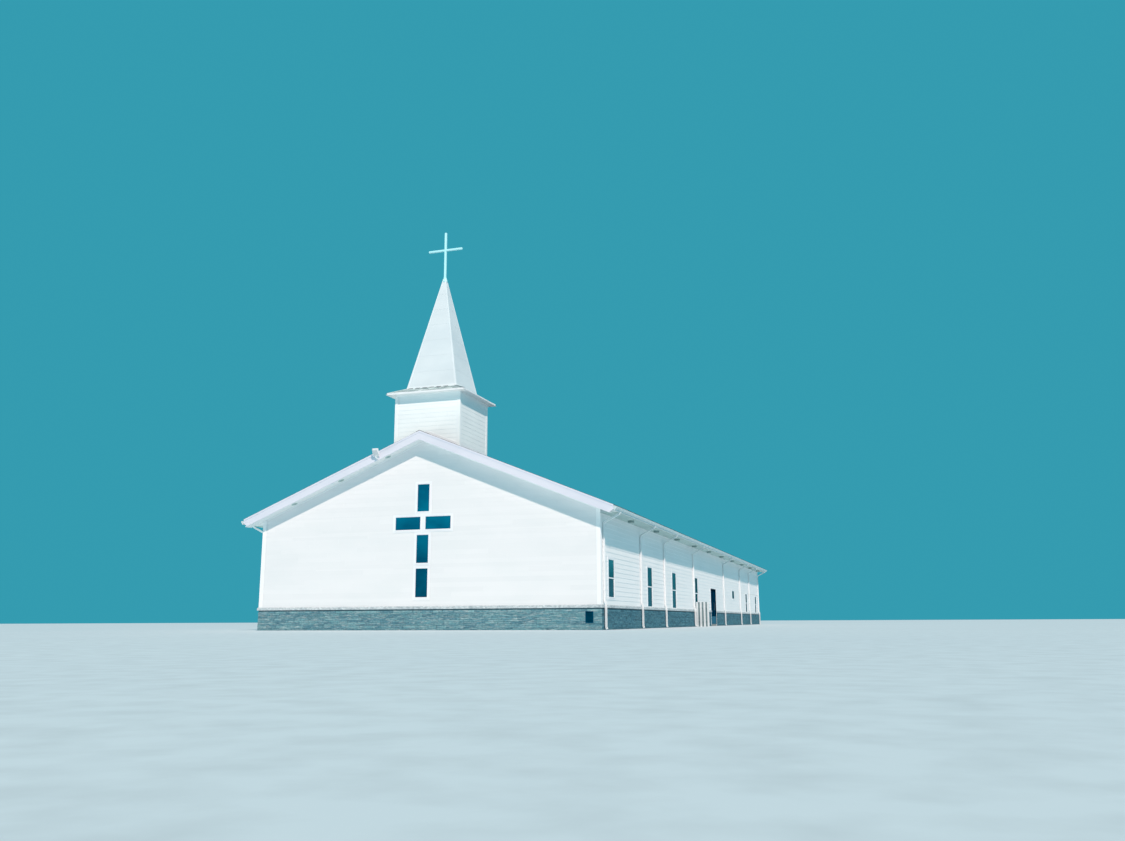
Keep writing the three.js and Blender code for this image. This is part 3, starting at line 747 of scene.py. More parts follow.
def split_stones(shape, face, left, right, rows, rng, holes=()):
    """Rows of split blocks, each with a rough face inside a chipped edge."""
    for v0, v1 in rows:
        for start, end in without(left, right, holes, (v0 + v1) / 2):
            lengths = rng.uniform(STONE.short, STONE.long, int((end - start) / STONE.short) + 2)
            ends = start + np.cumsum(lengths)
            ends = np.append(ends[ends < end - STONE.short / 2], end)
            us = np.stack([np.insert(ends[:-1], 0, start), ends], axis=1)
            add_stones(shape, face, us, (v0, v1), rng)


def add_stones(shape, face, us, vs, rng):
    count = len(us)
    joint, edge = STONE.joint / 2, STONE.edge
    left, right = us[:, :1] + joint, us[:, 1:] - joint
    middle = left + (right - left) * rng.uniform(*STONE_MIDDLES, (count, 1))
    grid_u = np.concatenate([left, left + edge, middle, right - edge, right], axis=1)[:, :, None]
    low, high = vs[0] + joint, vs[1] - joint
    inner_edge = min(edge, (high - low) * STONE_EDGE_SHARE)
    grid_v = np.array([low, low + inner_edge, high - inner_edge, high])[None, None, :]
    proud = rng.uniform(*STONE_PROUD_SHARES, (count, 1, 1)) * STONE.proud
    rough = proud * (1 + rng.uniform(*STONE_LUMPS, (count, 5, 4)))
    rim = np.ones((5, 4), bool)
    rim[1:4, 1:3] = False
    depth = np.minimum(np.where(rim, rough - STONE.chip, rough), STONE.proud)
    front = face.at(np.broadcast_to(grid_u, depth.shape), np.broadcast_to(grid_v, depth.shape), depth)
    corners = [(left, low), (right, low), (right, high), (left, high)]
    back = np.stack([face.at(u[:, 0], np.full(count, v), STONE.deep) for u, v in corners], axis=1)
    points = np.concatenate([front.reshape(count, 20, 3), back], axis=1)
    starts = range(0, points[..., 0].size, points.shape[1])
    shape.add(points, [[start + index for index in side] for start in starts for side in STONE_FACES])


def add_base():
    """Courses of split stones on the four sides of the base, around the vent and the doorway."""
    rng = np.random.default_rng(11)
    rows = split_rows(0, LEDGE_FOOT - RAKED_JOINT, rng)
    reach = BASE_HALF + STONE.proud
    doorway = (*RIGHT.spread("door_frame")[0], 0, LEDGE_FOOT)
    holes = {"front": holes_on(FRONT, ["foundation_vent"]), "right": [doorway]}
    for name, wall in WALLS.items():
        is_gable = name in GABLES
        left, right = (-reach, reach) if is_gable else (-BASE_PROUD, LENGTH + BASE_PROUD)
        stones = Shape()
        split_stones(stones, wall.moved(d=BASE_PROUD), left, right, rows, rng, holes.get(name, ()))
        piece(stones, f"{name}_ledgestone", STONES if is_gable else SIDE_STONES_PAINTED_SHADE)


# Ledge stones: length, joint, and the points of their edges, as (in from the front, off the foot or top)
LEDGE_LENGTH = 0.61
LEDGE_JOINT = 0.002
LEDGE_LOWER = ((0.006, 0), (0, 0.008))
LEDGE_UPPER = ((0, 0.026), (0.01, 0.016))


def add_ledge():
    """Cut stones with a weathered top, open at the doorway."""
    proud = RIGHT.spread("stone_ledge")[2][1]
    lower = [(proud - back, LEDGE_FOOT + rise) for back, rise in LEDGE_LOWER]
    upper = [(proud - back, LEDGE_TOP - drop) for back, drop in LEDGE_UPPER]
    profile = [(0, LEDGE_FOOT), *lower, *upper, (0, LEDGE_TOP)]
    stones = Shape()
    door_from, door_to = RIGHT.spread("door_frame")[0]
    across = (-HALF_WIDTH - proud, HALF_WIDTH + proud)
    stretches = [(face, *across) for face in GABLES.values()]
    stretches += [(LEFT, 0, LENGTH), (RIGHT, 0, door_from), (RIGHT, door_to, LENGTH)]
    for face, left, right in stretches:
        ends = np.linspace(left, right, round((right - left) / LEDGE_LENGTH) + 1)
        for us in zip(ends, ends[1:]):
            stones.run(face, profile, grown(us, -LEDGE_JOINT))
    piece(stones, "ledge_stones", LEDGE, replaces=["stone_ledge"])


VENT = Sizes(rim=0.025, depth=0.03, proud=0.02, blades=9, blade=0.006)


def add_vent():
    """Louvred foundation vent."""
    face = FRONT.moved(d=BASE_PROUD)
    us, vs, ds = face.spread("foundation_vent")
    rim, blade = VENT.rim, VENT.blade
    back = ds[0] + VENT.depth
    louvres = Shape()
    louvres.ring(face, us, vs, (back, ds[1] + VENT.proud), rim)
    louvres.block(face, us, vs, (ds[0], back))
    step = (vs[1] - vs[0] - 2 * rim) / VENT.blades
    for number in range(VENT.blades):
        low = vs[0] + rim + number * step
        profile = [(back, low + step), (back, low + step - blade), (ds[1], low), (ds[1], low + blade)]
        louvres.run(face, profile, grown(us, -rim))
    piece(louvres, "vent_louvres", VENT_METAL, replaces=["foundation_vent"])


# Shingles
SHINGLE = Sizes(course=0.143, lap=0.03, narrow=0.16, wide=0.36, thin=0.007, thick=0.016, head=0.003)
SHINGLE_RAGGED = 0.006
SHINGLE_GAP = 0.001
LEAST_TABS = (0.05, 0.08)
LEAST_ROW_SHARE = 0.2
EAVE_OVERHANG = 0.02
CAP = Sizes(half=0.16, lap=0.06, thin=0.024, thick=0.03, head=0.014, least=0.02)


def shingle_tabs(shape, face, length, foot, head, rng):
    """Courses of tabs up a slope whose left and right ends go from foot to head over its length."""
    narrow = SHINGLE.narrow
    for row in range(math.ceil(length / SHINGLE.course - LEAST_ROW_SHARE)):
        v0 = row * SHINGLE.course
        v1 = min(v0 + SHINGLE.course + SHINGLE.lap, length)
        edges = [[low + (high - low) * v / length for low, high in zip(foot, head)] for v in (v0, v1)]
        (a0, b0), (a1, b1) = edges
        widths = rng.uniform(narrow, SHINGLE.wide, int((b0 - a0) / narrow) + 2)
        ends = np.cumsum(widths) - rng.uniform(0, narrow)
        ends = ends[(ends > LEAST_TABS[0]) & (ends < b0 - a0 - LEAST_TABS[1])] / (b0 - a0)
        shares = np.concatenate([[0], ends, [1]])
        at_foot, at_head = a0 + shares * (b0 - a0), a1 + shares * (b1 - a1)
        count = len(shares) - 1
        thick = rng.uniform(SHINGLE.thin, SHINGLE.thick, count)
        ragged = v0 + rng.uniform(0, SHINGLE_RAGGED, count)
        feet = (at_foot[:-1] + SHINGLE_GAP, at_foot[1:] - SHINGLE_GAP, ragged, 0, thick)
        heads = (at_head[:-1] + SHINGLE_GAP, at_head[1:] - SHINGLE_GAP, v1, 0, SHINGLE.head)
        shape.slabs(face, feet, heads)


def ridge_shingles(shape, start, end, rng):
    """Folded cap shingles along the ridge, each lapped by the one before it."""
    half, step = CAP.half, SHINGLE.course
    line = [(-half, -PITCH * half), (0, 0), (half, -PITCH * half)]
    for y in np.arange(start, end - CAP.least, step):
        rings = []
        reach = min(y + step + CAP.lap, end)
        for at, thick in ((y, rng.uniform(CAP.thin, CAP.thick)), (reach, CAP.head)):
            upper = [(x, at, RIDGE_TOP + z + thick) for x, z in line]
            lower = [(x, at, RIDGE_TOP + z) for x, z in line[::-1]]
            rings.append(upper + lower)
        shape.loft(rings)


def add_roof():
    rng = np.random.default_rng(23)
    ends = (0, LENGTH + 2 * RAKE_REACH)
    for name, face in ROOF_SLOPES.items():
        tabs = Shape()
        shingle_tabs(tabs, face.moved(v=-EAVE_OVERHANG), EAVE_X * SLOPE + EAVE_OVERHANG, ends, ends, rng)
        piece(tabs, f"{name}_roof_shingles", SHINGLES)
    caps = Shape()
    ridge_shingles(caps, TOWER_HIGH[1], LENGTH + RAKE_REACH, rng)
    ridge_shingles(caps, -RAKE_REACH, TOWER_LOW[1], rng)
    piece(caps, "ridge_shingles", SHINGLES, replaces=["ridge_cap"])


# Rake boards: the board's back and face, and bands on it as (upper drop, lower drop, half width, front)
RAKE_HEIGHT = 0.373
RAKE_CLIP = (8.13, 4.56)
RAKE_BOARD = (-0.025, -0.012)
RAKE_BANDS = (
    (0.0, 0.07, EAVE_X, 0),
    (0.07, 0.085, EAVE_X, -0.006),
    (RAKE_HEIGHT - 0.04, RAKE_HEIGHT, RAKE_CLIP[0], -0.004),
)
BAND_BACK = -0.014
EAVE_RETURN = (-0.025, -0.018)


def chevron(low, high, half):
    """The band between two drops under the roof's top line, out to half on both sides."""
    upper = [(x, RIDGE_TOP - PITCH * abs(x) - low) for x in (-half, 0, half)]
    lower = [(x, RIDGE_TOP - PITCH * abs(x) - high) for x in (half, 0, -half)]
    return upper + lower


def add_rake_boards():
    """Gable trim: a flat board with a shingle mould at its top edge, a bead at its foot and clipped ends."""
    clip_x, clip_z = RAKE_CLIP
    clip_foot = RIDGE_TOP - RAKE_HEIGHT - PITCH * clip_x
    cut_x = clip_x + (EAVE_X - clip_x) * (SOFFIT_Z - clip_foot) / (clip_z - clip_foot)
    ends = [(EAVE_X, EAVE_TOP), (EAVE_X, clip_z), (clip_x, clip_foot)]
    left_end = [(-x, z) for x, z in ends]
    outline = [*left_end, (0, RIDGE_TOP - RAKE_HEIGHT), *ends[::-1], (0, RIDGE_TOP)]
    end = [(cut_x, SOFFIT_Z), (EAVE_X, SOFFIT_Z), (EAVE_X, clip_z)]
    returns = Shape()
    for name, wall in GABLES.items():
        board = Shape()
        face = wall.moved(d=RAKE_REACH)
        board.plate(face, outline, RAKE_BOARD)
        for low, high, half, front in RAKE_BANDS:
            board.plate(face, chevron(low, high, half), (BAND_BACK, front))
        piece(board, f"{name}_rake_trim", RAKE_TRIM, replaces=[f"{name}_rake_board"])
        for side in (-1, 1):
            returns.plate(face, [(side * x, z) for x, z in end], EAVE_RETURN)
    # These end plates carry painted shade
    piece(returns, "eave_returns", RETURNS_PAINTED_SHADE)


# Soffit boards, and their round lights: recessed ones across the rakes and drums along the eaves
SOFFIT_BOARD = Sizes(start=0.01, pitch=0.1, groove=0.008, thick=0.006)
EAVE_PLAY = 0.004
RAKE_PANELS = Sizes(front=0.026, wall=0.03, half=8.2)
DOWNLIGHT = Sizes(rim=0.13, rim_ds=(0.002, 0.012), can=0.07, can_ds=(0.01, 0.014))
RAKE_LIGHTS = (1.55, 3.74, 5.97)
DRUM_LIGHT = Sizes(radius=0.14, play=0.002, drop=0.09, bevel=0.015)
EAVE_LIGHTS = np.arange(3.6, 50, 5)
EAVE_LIGHT_X = 7.98


def circle(radius, count=24, start=0.0):
    """Points around a circle, as (count, 2)."""
    turn = np.linspace(0, 2 * math.pi, count + 1)[:-1] + start
    return radius * np.stack([np.cos(turn), np.sin(turn)], axis=1)


def board_spans(end):
    """Where grooved soffit boards start and end, side by side."""
    starts = np.arange(SOFFIT_BOARD.start, end, SOFFIT_BOARD.pitch)
    return starts, starts + SOFFIT_BOARD.pitch - SOFFIT_BOARD.groove


def add_downlight(rims, cans, middle):
    """A round recessed light: a rim, and the can inside it."""
    rims.plate(middle, circle(DOWNLIGHT.rim), DOWNLIGHT.rim_ds)
    cans.plate(middle, circle(DOWNLIGHT.can), DOWNLIGHT.can_ds)


def add_drum_light(drums, middle):
    """A round light that hangs a little below the soffit."""
    radius, drop, bevel = DRUM_LIGHT.radius, DRUM_LIGHT.drop, DRUM_LIGHT.bevel
    sizes = ((DRUM_LIGHT.play, radius), (drop - bevel, radius), (drop, radius - bevel))
    drums.loft([middle.at(*circle(size).T, d) for d, size in sizes])


def add_soffits():
    """Grooved soffit panels under the eaves and under the rake overhangs, with their round lights."""
    eave_panels, rake_panels, rims, cans, drums = (Shape() for _ in range(5))
    thick = SOFFIT_BOARD.thick
    front, wall = -RAKE_REACH + RAKE_PANELS.front, -RAKE_PANELS.wall
    for side in (-1, 1):
        eave = Face((0, 0, SOFFIT_Z), Y, X) if side > 0 else Face((0, LENGTH, SOFFIT_Z), -Y, -X)
        boards = board_spans(LENGTH - SOFFIT_BOARD.pitch)
        eave_panels.block(eave, boards, (HALF_WIDTH, EAVE_X - EAVE_PLAY), (0, thick))
        for along in EAVE_LIGHTS:
            u = along if side > 0 else LENGTH - along
            add_drum_light(drums, eave.moved(u=u, v=EAVE_LIGHT_X))
        downhill = np.array([side, 0, -PITCH]) / SLOPE
        under = Face((0, 0, RIDGE_TOP - ROOF_DEPTH), Y * side, downhill)
        for near, far in ((front, wall), (LENGTH - wall, LENGTH - front)):
            us = (near, far) if side > 0 else (-far, -near)
            rake_panels.block(under, us, board_spans(RAKE_PANELS.half * SLOPE), (0, thick))
        for x in RAKE_LIGHTS:
            add_downlight(rims, cans, under.moved(u=-side * RAKE_REACH / 2, v=x * SLOPE, d=thick))
    piece(eave_panels, "eave_soffit_panels", EAVE_SOFFIT_PAINTED_SHADE)
    # The panels under the eaves and the light rims carry painted shade
    piece(rake_panels, "rake_soffit_panels", SOFFIT)
    piece(rims, "soffit_light_rims", EAVE_SOFFIT_PAINTED_SHADE)
    piece(cans, "soffit_light_cans", CAN_METAL)
    piece(drums, "eave_drum_lights", DRUM_METAL)


# Gutters: their curved front as (share of the reach, height over the foot), their sizes, and the places
# along the hall of their hangers, seams and downspouts
GUTTER_FOOT = 4.51
OGEE = ((0.55, 0), (0.56, 0.03), (0.7, 0.055), (0.92, 0.075))
GUTTER = Sizes(play=0.002, front=0.003, rise=0.105, lip=0.016, fold=0.012, sheet=0.004, cap=0.005)
HANGER = Sizes(width=0.025, drops=(0.014, 0.01))
SEAM = Sizes(width=0.012, rise=0.1)
HANGERS = np.arange(0.1, LENGTH, 0.61)
SEAMS = np.arange(6.0, LENGTH, 9.1)
DOWNSPOUTS = (0.33, 6.6, 11.7, 19.7, 31.2, 39.35, 44.85, 51.08)

# Middle of a downspout out from the wall, and the heights of its bends. The outlet is a part of its own
PIPE = Sizes(outlet=0.7225, wall=0.0575, base=0.1075, width=0.1, depth=0.075, groove=0.005, kick=0.04)
OUTLET_SHARE = 0.29
PIPE_BENDS = Sizes(elbow_top=4.46, elbow_foot=4.13, jog_top=1.08, jog_foot=1.02, shoe=0.1, tip=0.035)
OUTLET_RADII = (0.05,)
PIPE_RADII = (0.11, 0.035, 0.035, 0.035)
STRAPS = (1.5, 2.6, 3.7)
STRAP = Sizes(ear=0.006, height=0.035, reach=0.041)
COLLAR = Sizes(back=0.042, front=0.045, foot=0.03, top=0.004, sunk=0.006)


def ribbon(line, thickness):
    """A closed outline of that thickness along an open line."""
    line = np.array(line, float)
    steps = np.gradient(line, axis=0)
    normals = np.stack([-steps[:, 1], steps[:, 0]], axis=1)
    normals /= np.linalg.norm(normals, axis=1)[:, None]
    return np.concatenate([line, (line + normals * thickness)[::-1]])


def add_gutters():
    """Ogee gutters with end caps and hangers, and ribbed downspouts with elbows and straps."""
    outer_x, top = real("right_gutter")[1][0], real("right_gutter")[1][2]
    foot, reach = GUTTER_FOOT, outer_x - EAVE_X
    play, front, lip = GUTTER.play, reach - GUTTER.front, reach - GUTTER.lip
    line = [(play, top), (play, foot), *((reach * share, foot + rise) for share, rise in OGEE)]
    line += [(front, foot + GUTTER.rise), (front, top - play), (lip, top - play), (lip, top - GUTTER.fold)]
    solid = [*line[1:8], (play, top - play)]
    hanger_vs = [top - drop for drop in HANGER.drops]
    sheet, cap = GUTTER.sheet, GUTTER.cap
    ends = (-RAKE_REACH, LENGTH + RAKE_REACH)
    for name, wall in SIDES.items():
        trough, outlets, pipes = Shape(), Shape(), Shape()
        eave = wall.moved(d=EAVE_X - HALF_WIDTH)
        trough.run(eave, ribbon(line, sheet), grown(ends, -sheet))
        for start in (ends[0], ends[1] - cap):
            trough.run(eave, solid, (start, start + cap))
        trough.block(eave, (HANGERS, HANGERS + HANGER.width), hanger_vs, (sheet, reach - sheet))
        trough.block(eave, (SEAMS, SEAMS + SEAM.width), (foot + SEAM.rise, top), (reach - sheet, reach))
        for along in DOWNSPOUTS:
            add_downspout(outlets, pipes, wall, along if name == "right" else LENGTH - along)
        replaced = [f"{name}_gutter"]
        piece(trough, f"{name}_gutter_trough", TROUGHS_PAINTED_SHADE, replaces=replaced)
        piece(outlets, f"{name}_gutter_outlets", OUTLETS_PAINTED_SHADE, replaces=replaced)
        piece(pipes, f"{name}_downspouts", GUTTERS, replaces=replaced)


# One wide side of a downspout, as (share of its width, share of the groove's depth)
RIBS = ((-0.5, 0), (-0.3, 0), (-0.24, 1), (-0.12, 1), (-0.06, 0), (0.06, 0), (0.12, 1), (0.24, 1), (0.3, 0))


def ribbed_section(width, depth, groove):
    """A rectangle with shallow grooves, as rolled downspouts have."""
    front = [(share * width, depth / 2 - groove * deep) for share, deep in RIBS]
    back = [(-share * width, -depth / 2 + groove * deep) for share, deep in RIBS]
    return front + back


def rounded(path, radii, steps=4):
    """The same path with each bend rounded by its own radius."""
    path = [np.array(point, float) for point in path]
    made = [path[0]]
    for before, corner, after, radius in zip(path, path[1:], path[2:], radii):
        start = corner + (before - corner) / np.linalg.norm(before - corner) * radius
        end = corner + (after - corner) / np.linalg.norm(after - corner) * radius
        for share in np.linspace(0, 1, steps + 1):
            made.append((1 - share) ** 2 * start + 2 * share * (1 - share) * corner + share**2 * end)
    return [*made, path[-1]]


def add_downspout(outlets, pipes, wall, u):
    outlet, near, base, bends = PIPE.outlet, PIPE.wall, PIPE.base, PIPE_BENDS
    section = ribbed_section(PIPE.width, PIPE.depth, PIPE.groove)
    fall = bends.elbow_top - bends.elbow_foot
    lap = (outlet - OUTLET_SHARE * (outlet - near), bends.elbow_top - OUTLET_SHARE * fall)
    upper = [(outlet, GUTTER_FOOT + COLLAR.sunk), (outlet, bends.elbow_top), lap]
    outlets.pipe(wall, u, rounded(upper, OUTLET_RADII), section)
    path = [
        lap,
        (near, bends.elbow_foot),
        (near, bends.jog_top),
        (base, bends.jog_foot),
        (base, bends.shoe),
        (base + PIPE.kick, bends.tip),
    ]
    pipes.pipe(wall, u, rounded(path, PIPE_RADII), section)
    half = PIPE.width / 2 + STRAP.ear
    us = (u - half, u + half)
    for height in STRAPS:
        pipes.block(wall, us, (height, height + STRAP.height), (0, near + STRAP.reach))
    collar_vs = (GUTTER_FOOT - COLLAR.foot, GUTTER_FOOT + COLLAR.top)
    outlets.block(wall, us, collar_vs, (outlet - COLLAR.back, outlet + COLLAR.front))


# Steeple
STEEPLE_Y = (TOWER_LOW[1] + TOWER_HIGH[1]) / 2
TURNS = {"front": X, "right": Y, "rear": -X, "left": -Y}
TOWER_TRIM = Sizes(width=0.12, proud=0.02, frieze=0.07, frieze_proud=0.014)
TOWER_FLASHING = Sizes(up=0.13, down=0.02, proud=0.016)


def steeple_faces(half, foot, run=0, rise=1):
    """Four faces around the steeple, upright or sloping in by run over a rise, with u from their middle."""
    for name, along in TURNS.items():
        out = np.cross(along, UP)
        up = (UP * rise - out * run) / math.hypot(rise, run)
        yield name, Face(np.array([0, STEEPLE_Y, foot]) + out * half, along, up)


def tower_spans(is_gable, half, v):
    """The stretches of a tower wall at a height, beside the hall's ridge or over it."""
    inner = (RIDGE_TOP - v) / PITCH
    return [(-half, -inner), (inner, half)] if is_gable and v < RIDGE_TOP else [(-half, half)]


def add_tower():
    """Siding, corner boards and a frieze on the tower, with flashing along the hall's roof."""
    half, valley, top = TOWER_HIGH[0], TOWER_LOW[2], SKIRT_LOW[2]
    width, proud = TOWER_TRIM.width, TOWER_TRIM.proud
    boards, trim, flashing = Shape(), Shape(), Shape()
    for name, face in steeple_faces(half, 0):
        is_gable = name in GABLES
        spans = partial(tower_spans, is_gable, half)
        lap_boards(boards, face, valley, top, spans, LIPS["tower"], [RIDGE_TOP])
        reach = half + proud if is_gable else half
        for side in (-1, 1):
            trim.block(face, sorted((side * (half - width), side * reach)), (valley, top), (0, proud))
        trim.block(face, (-half, half), (top - TOWER_TRIM.frieze, top), (0, TOWER_TRIM.frieze_proud))
        line = [(-half, 0), (0, PITCH * half), (half, 0)] if is_gable else [(-half, 0), (half, 0)]
        upper = [(u, valley + rise + TOWER_FLASHING.up) for u, rise in line]
        lower = [(u, valley + rise - TOWER_FLASHING.down) for u, rise in line[::-1]]
        flashing.plate(face, upper + lower, (0, TOWER_FLASHING.proud))
    # The tower's boards take the lighter copy of the siding, which carries painted light
    piece(boards, "tower_siding", TOWER_SIDING_PAINTED_LIGHT)
    piece(trim, "tower_corner_boards", TOWER_SIDING_PAINTED_LIGHT)
    piece(flashing, "tower_flashing", TRIM)


SKIRT_FASCIA = 0.06
FASCIA_TRIM = Sizes(proud=0.008, vs=(-0.012, SKIRT_FASCIA - 0.012))
DRIP_EDGE = Sizes(proud=0.014, vs=(SKIRT_FASCIA - 0.02, SKIRT_FASCIA + 0.004))
SKIRT_STRIP = Sizes(pitch=0.075, width=0.067, inner=0.03, outer=0.02, thick=0.006)
TOP_TAB = Sizes(pitch=0.33, width=0.2, start=0.1, end=0.25, foot=0.075, head=0.02, thick=0.022)
HIP = Sizes(width=0.11, thick=(0.024, 0.02))


def edge_strips(shape, slope, length, foot, head, thick):
    """A strip up both edges of a slope. foot and head are each its (outer, inner) reach from the middle."""
    for side in (-1, 1):
        low_edge, high_edge = (sorted((side * outer, side * inner)) for outer, inner in (foot, head))
        shape.slabs(slope, (*low_edge, 0, 0, thick[0]), (*high_edge, length, 0, thick[1]))


def add_skirt():
    """Low roof at the tower's top: soffit, fascia with a drip edge, and shingles up to the spire."""
    rng = np.random.default_rng(31)
    half, spire = SKIRT_HIGH[0], SPIRE_HIGH[0]
    low, high = SKIRT_LOW[2], SKIRT_HIGH[2]
    trim, tabs, notches, soffit = Shape(), Shape(), Shape(), Shape()
    inner = np.arange(TOWER_HIGH[0] + SKIRT_STRIP.inner, half - SKIRT_STRIP.outer, SKIRT_STRIP.pitch)
    outer = inner + SKIRT_STRIP.width
    for _, face in steeple_faces(half, low):
        for band in (FASCIA_TRIM, DRIP_EDGE):
            trim.block(face, grown((-half, half), band.proud), band.vs, (0, band.proud))
        under = Face(face.origin - face.out * half, face.along, face.out)
        soffit.slabs(
            under,
            (-inner, inner, inner, 0, SKIRT_STRIP.thick),
            (-outer, outer, outer, 0, SKIRT_STRIP.thick),
        )
    rise, run = high - low - SKIRT_FASCIA, half - spire
    length = math.hypot(rise, run)
    starts = np.arange(TOP_TAB.start - spire, spire - TOP_TAB.end, TOP_TAB.pitch)
    for _, slope in steeple_faces(half, low + SKIRT_FASCIA, run, rise):
        shingle_tabs(tabs, slope, length, (-half, half), (-spire, spire), rng)
        tab_vs = (length - TOP_TAB.foot, length - TOP_TAB.head)
        notches.block(slope, (starts, starts + TOP_TAB.width), tab_vs, (0, TOP_TAB.thick))
        width = HIP.width
        edge_strips(tabs, slope, length, (half, half - width), (spire, spire - width), HIP.thick)
    piece(trim, "skirt_fascia", TRIM)
    piece(soffit, "skirt_soffit", SOFFIT)
    piece(tabs, "skirt_shingles", SKIRT_SHINGLES_PAINTED_LIGHT)
    piece(notches, "skirt_top_tabs", SHINGLES)


SPIRE_TOP_HALF = 0.055
PANEL = Sizes(count=7, foot=0.02, head=0.05, gap=0.002, thick=0.007, thin=0.005)
SPIRE_STRIP = Sizes(wrap=0.009, foot=0.075, head=0.02, thick=(0.012, 0.01))
SPIRE_FLASHING = Sizes(reach=0.03, low=-0.02, high=0.09, thick=0.024, thin=0.018)


def add_spire():
    """Flat cladding in tall panels with lapped seams, corner strips and a foot flashing."""
    foot_half, foot, top = SPIRE_HIGH[0], SPIRE_LOW[2], SPIRE_HIGH[2]
    run, rise = foot_half - SPIRE_TOP_HALF, top - foot
    length = math.hypot(run, rise)
    panels, trim = Shape(), Shape()
    seams = np.linspace(PANEL.foot, length - PANEL.head, PANEL.count + 1)
    halves = foot_half - run * seams / length
    strip, flashing = SPIRE_STRIP, SPIRE_FLASHING
    strip_foot = (foot_half + strip.wrap, foot_half - strip.foot)
    strip_head = (SPIRE_TOP_HALF + strip.wrap, SPIRE_TOP_HALF - strip.head)
    flashing_half = foot_half - run * flashing.high / length
    for _, slope in steeple_faces(foot_half, foot, run, rise):
        low, high = halves[:-1], halves[1:]
        at_foot = (-low, low, seams[:-1], 0, PANEL.thick)
        panels.slabs(slope, at_foot, (-high, high, seams[1:] - PANEL.gap, 0, PANEL.thin))
        edge_strips(trim, slope, length, strip_foot, strip_head, strip.thick)
        at_foot = (*grown((-foot_half, foot_half), flashing.reach), flashing.low, 0, flashing.thick)
        trim.slabs(slope, at_foot, (-flashing_half, flashing_half, flashing.high, 0, flashing.thin))
    piece(panels, "spire_panels", CLADDING)
    piece(trim, "spire_corner_strips", SPIRE_STRIPS)


# Cross: height of its arms, chamfer of its bars, and its collar as (radius, height over the spire's tip)
CROSS = Sizes(arm_z=16.908, bevel=0.012, sunk=0.1, upright_play=0.008, arm_play=0.01)
CROSS_COLLAR = ((0.115, -0.14), (0.11, -0.1), (0.08, 0.0), (0.072, 0.04), (0.072, 0.06))
COLLAR_SIDES = 16


def chamfered_bar(shape, face, start, end, half):
    """A square bar with chamfered edges along the face's out axis."""
    inner = half - CROSS.bevel
    outline = []
    for a, b in ((1, 1), (-1, 1), (-1, -1), (1, -1)):
        corner = [(a * half, b * inner), (a * inner, b * half)]
        outline += corner if a * b > 0 else corner[::-1]
    u, v = np.array(outline).T
    shrink = 1 - CROSS.bevel / half
    sizes = ((start, shrink), (start + CROSS.bevel, 1), (end - CROSS.bevel, 1), (end, shrink))
    shape.loft([face.at(u * size, v * size, d) for d, size in sizes])


def add_cross():
    """Cross of square tube with capped ends, on a collar at the spire's tip."""
    low, high = real("spire_cross")
    half, arm = high[1] - STEEPLE_Y, high[0]
    upright = Face((0, STEEPLE_Y, 0), X, Y)
    across = Face((0, STEEPLE_Y, CROSS.arm_z), Y, UP)
    shape = Shape()
    chamfered_bar(shape, upright, low[2] - CROSS.sunk, high[2], half - CROSS.upright_play)
    chamfered_bar(shape, across, -arm, arm, half - CROSS.arm_play)
    for ends in zip(CROSS_COLLAR, CROSS_COLLAR[1:]):
        rings = [(circle(radius, COLLAR_SIDES, math.pi / COLLAR_SIDES).T, low[2] + z) for radius, z in ends]
        shape.loft([upright.at(*ring, z) for ring, z in rings])
    piece(shape, "bevelled_cross", CROSS_PAINT, replaces=["spire_cross"])


# Double door: its leaves, the plate and fittings on them, its casing and the threshold's profile of (d, v)
LEAF = Sizes(rim=0.07, kick=0.5, bead=0.014, inset=(0.01, 0.008), pivot=0.012, glass=0.005)
KICK_PLATE = Sizes(side=0.012, foot=0.01, head=0.02, thick=0.003)
PULL = Sizes(foot=1.0, head=1.45, reach=0.055, sunk=0.002, bend=0.03, radius=0.011)
PUSH_BAR = Sizes(z=1.05, end=0.05, vs=(0, 0.045), ds=(0.03, 0.05))
PUSH_POST = Sizes(end=0.06, width=0.03, vs=(0.005, 0.04), ds=(0, 0.04))
DOOR_CASING = Sizes(width=0.1, head=0.12, proud=0.024, foot=0.02)
THRESHOLD = ((-0.14, 0.11), (0.02, 0.11), (0.0, 0.121), (-0.12, 0.121))
THRESHOLD_END = 0.06


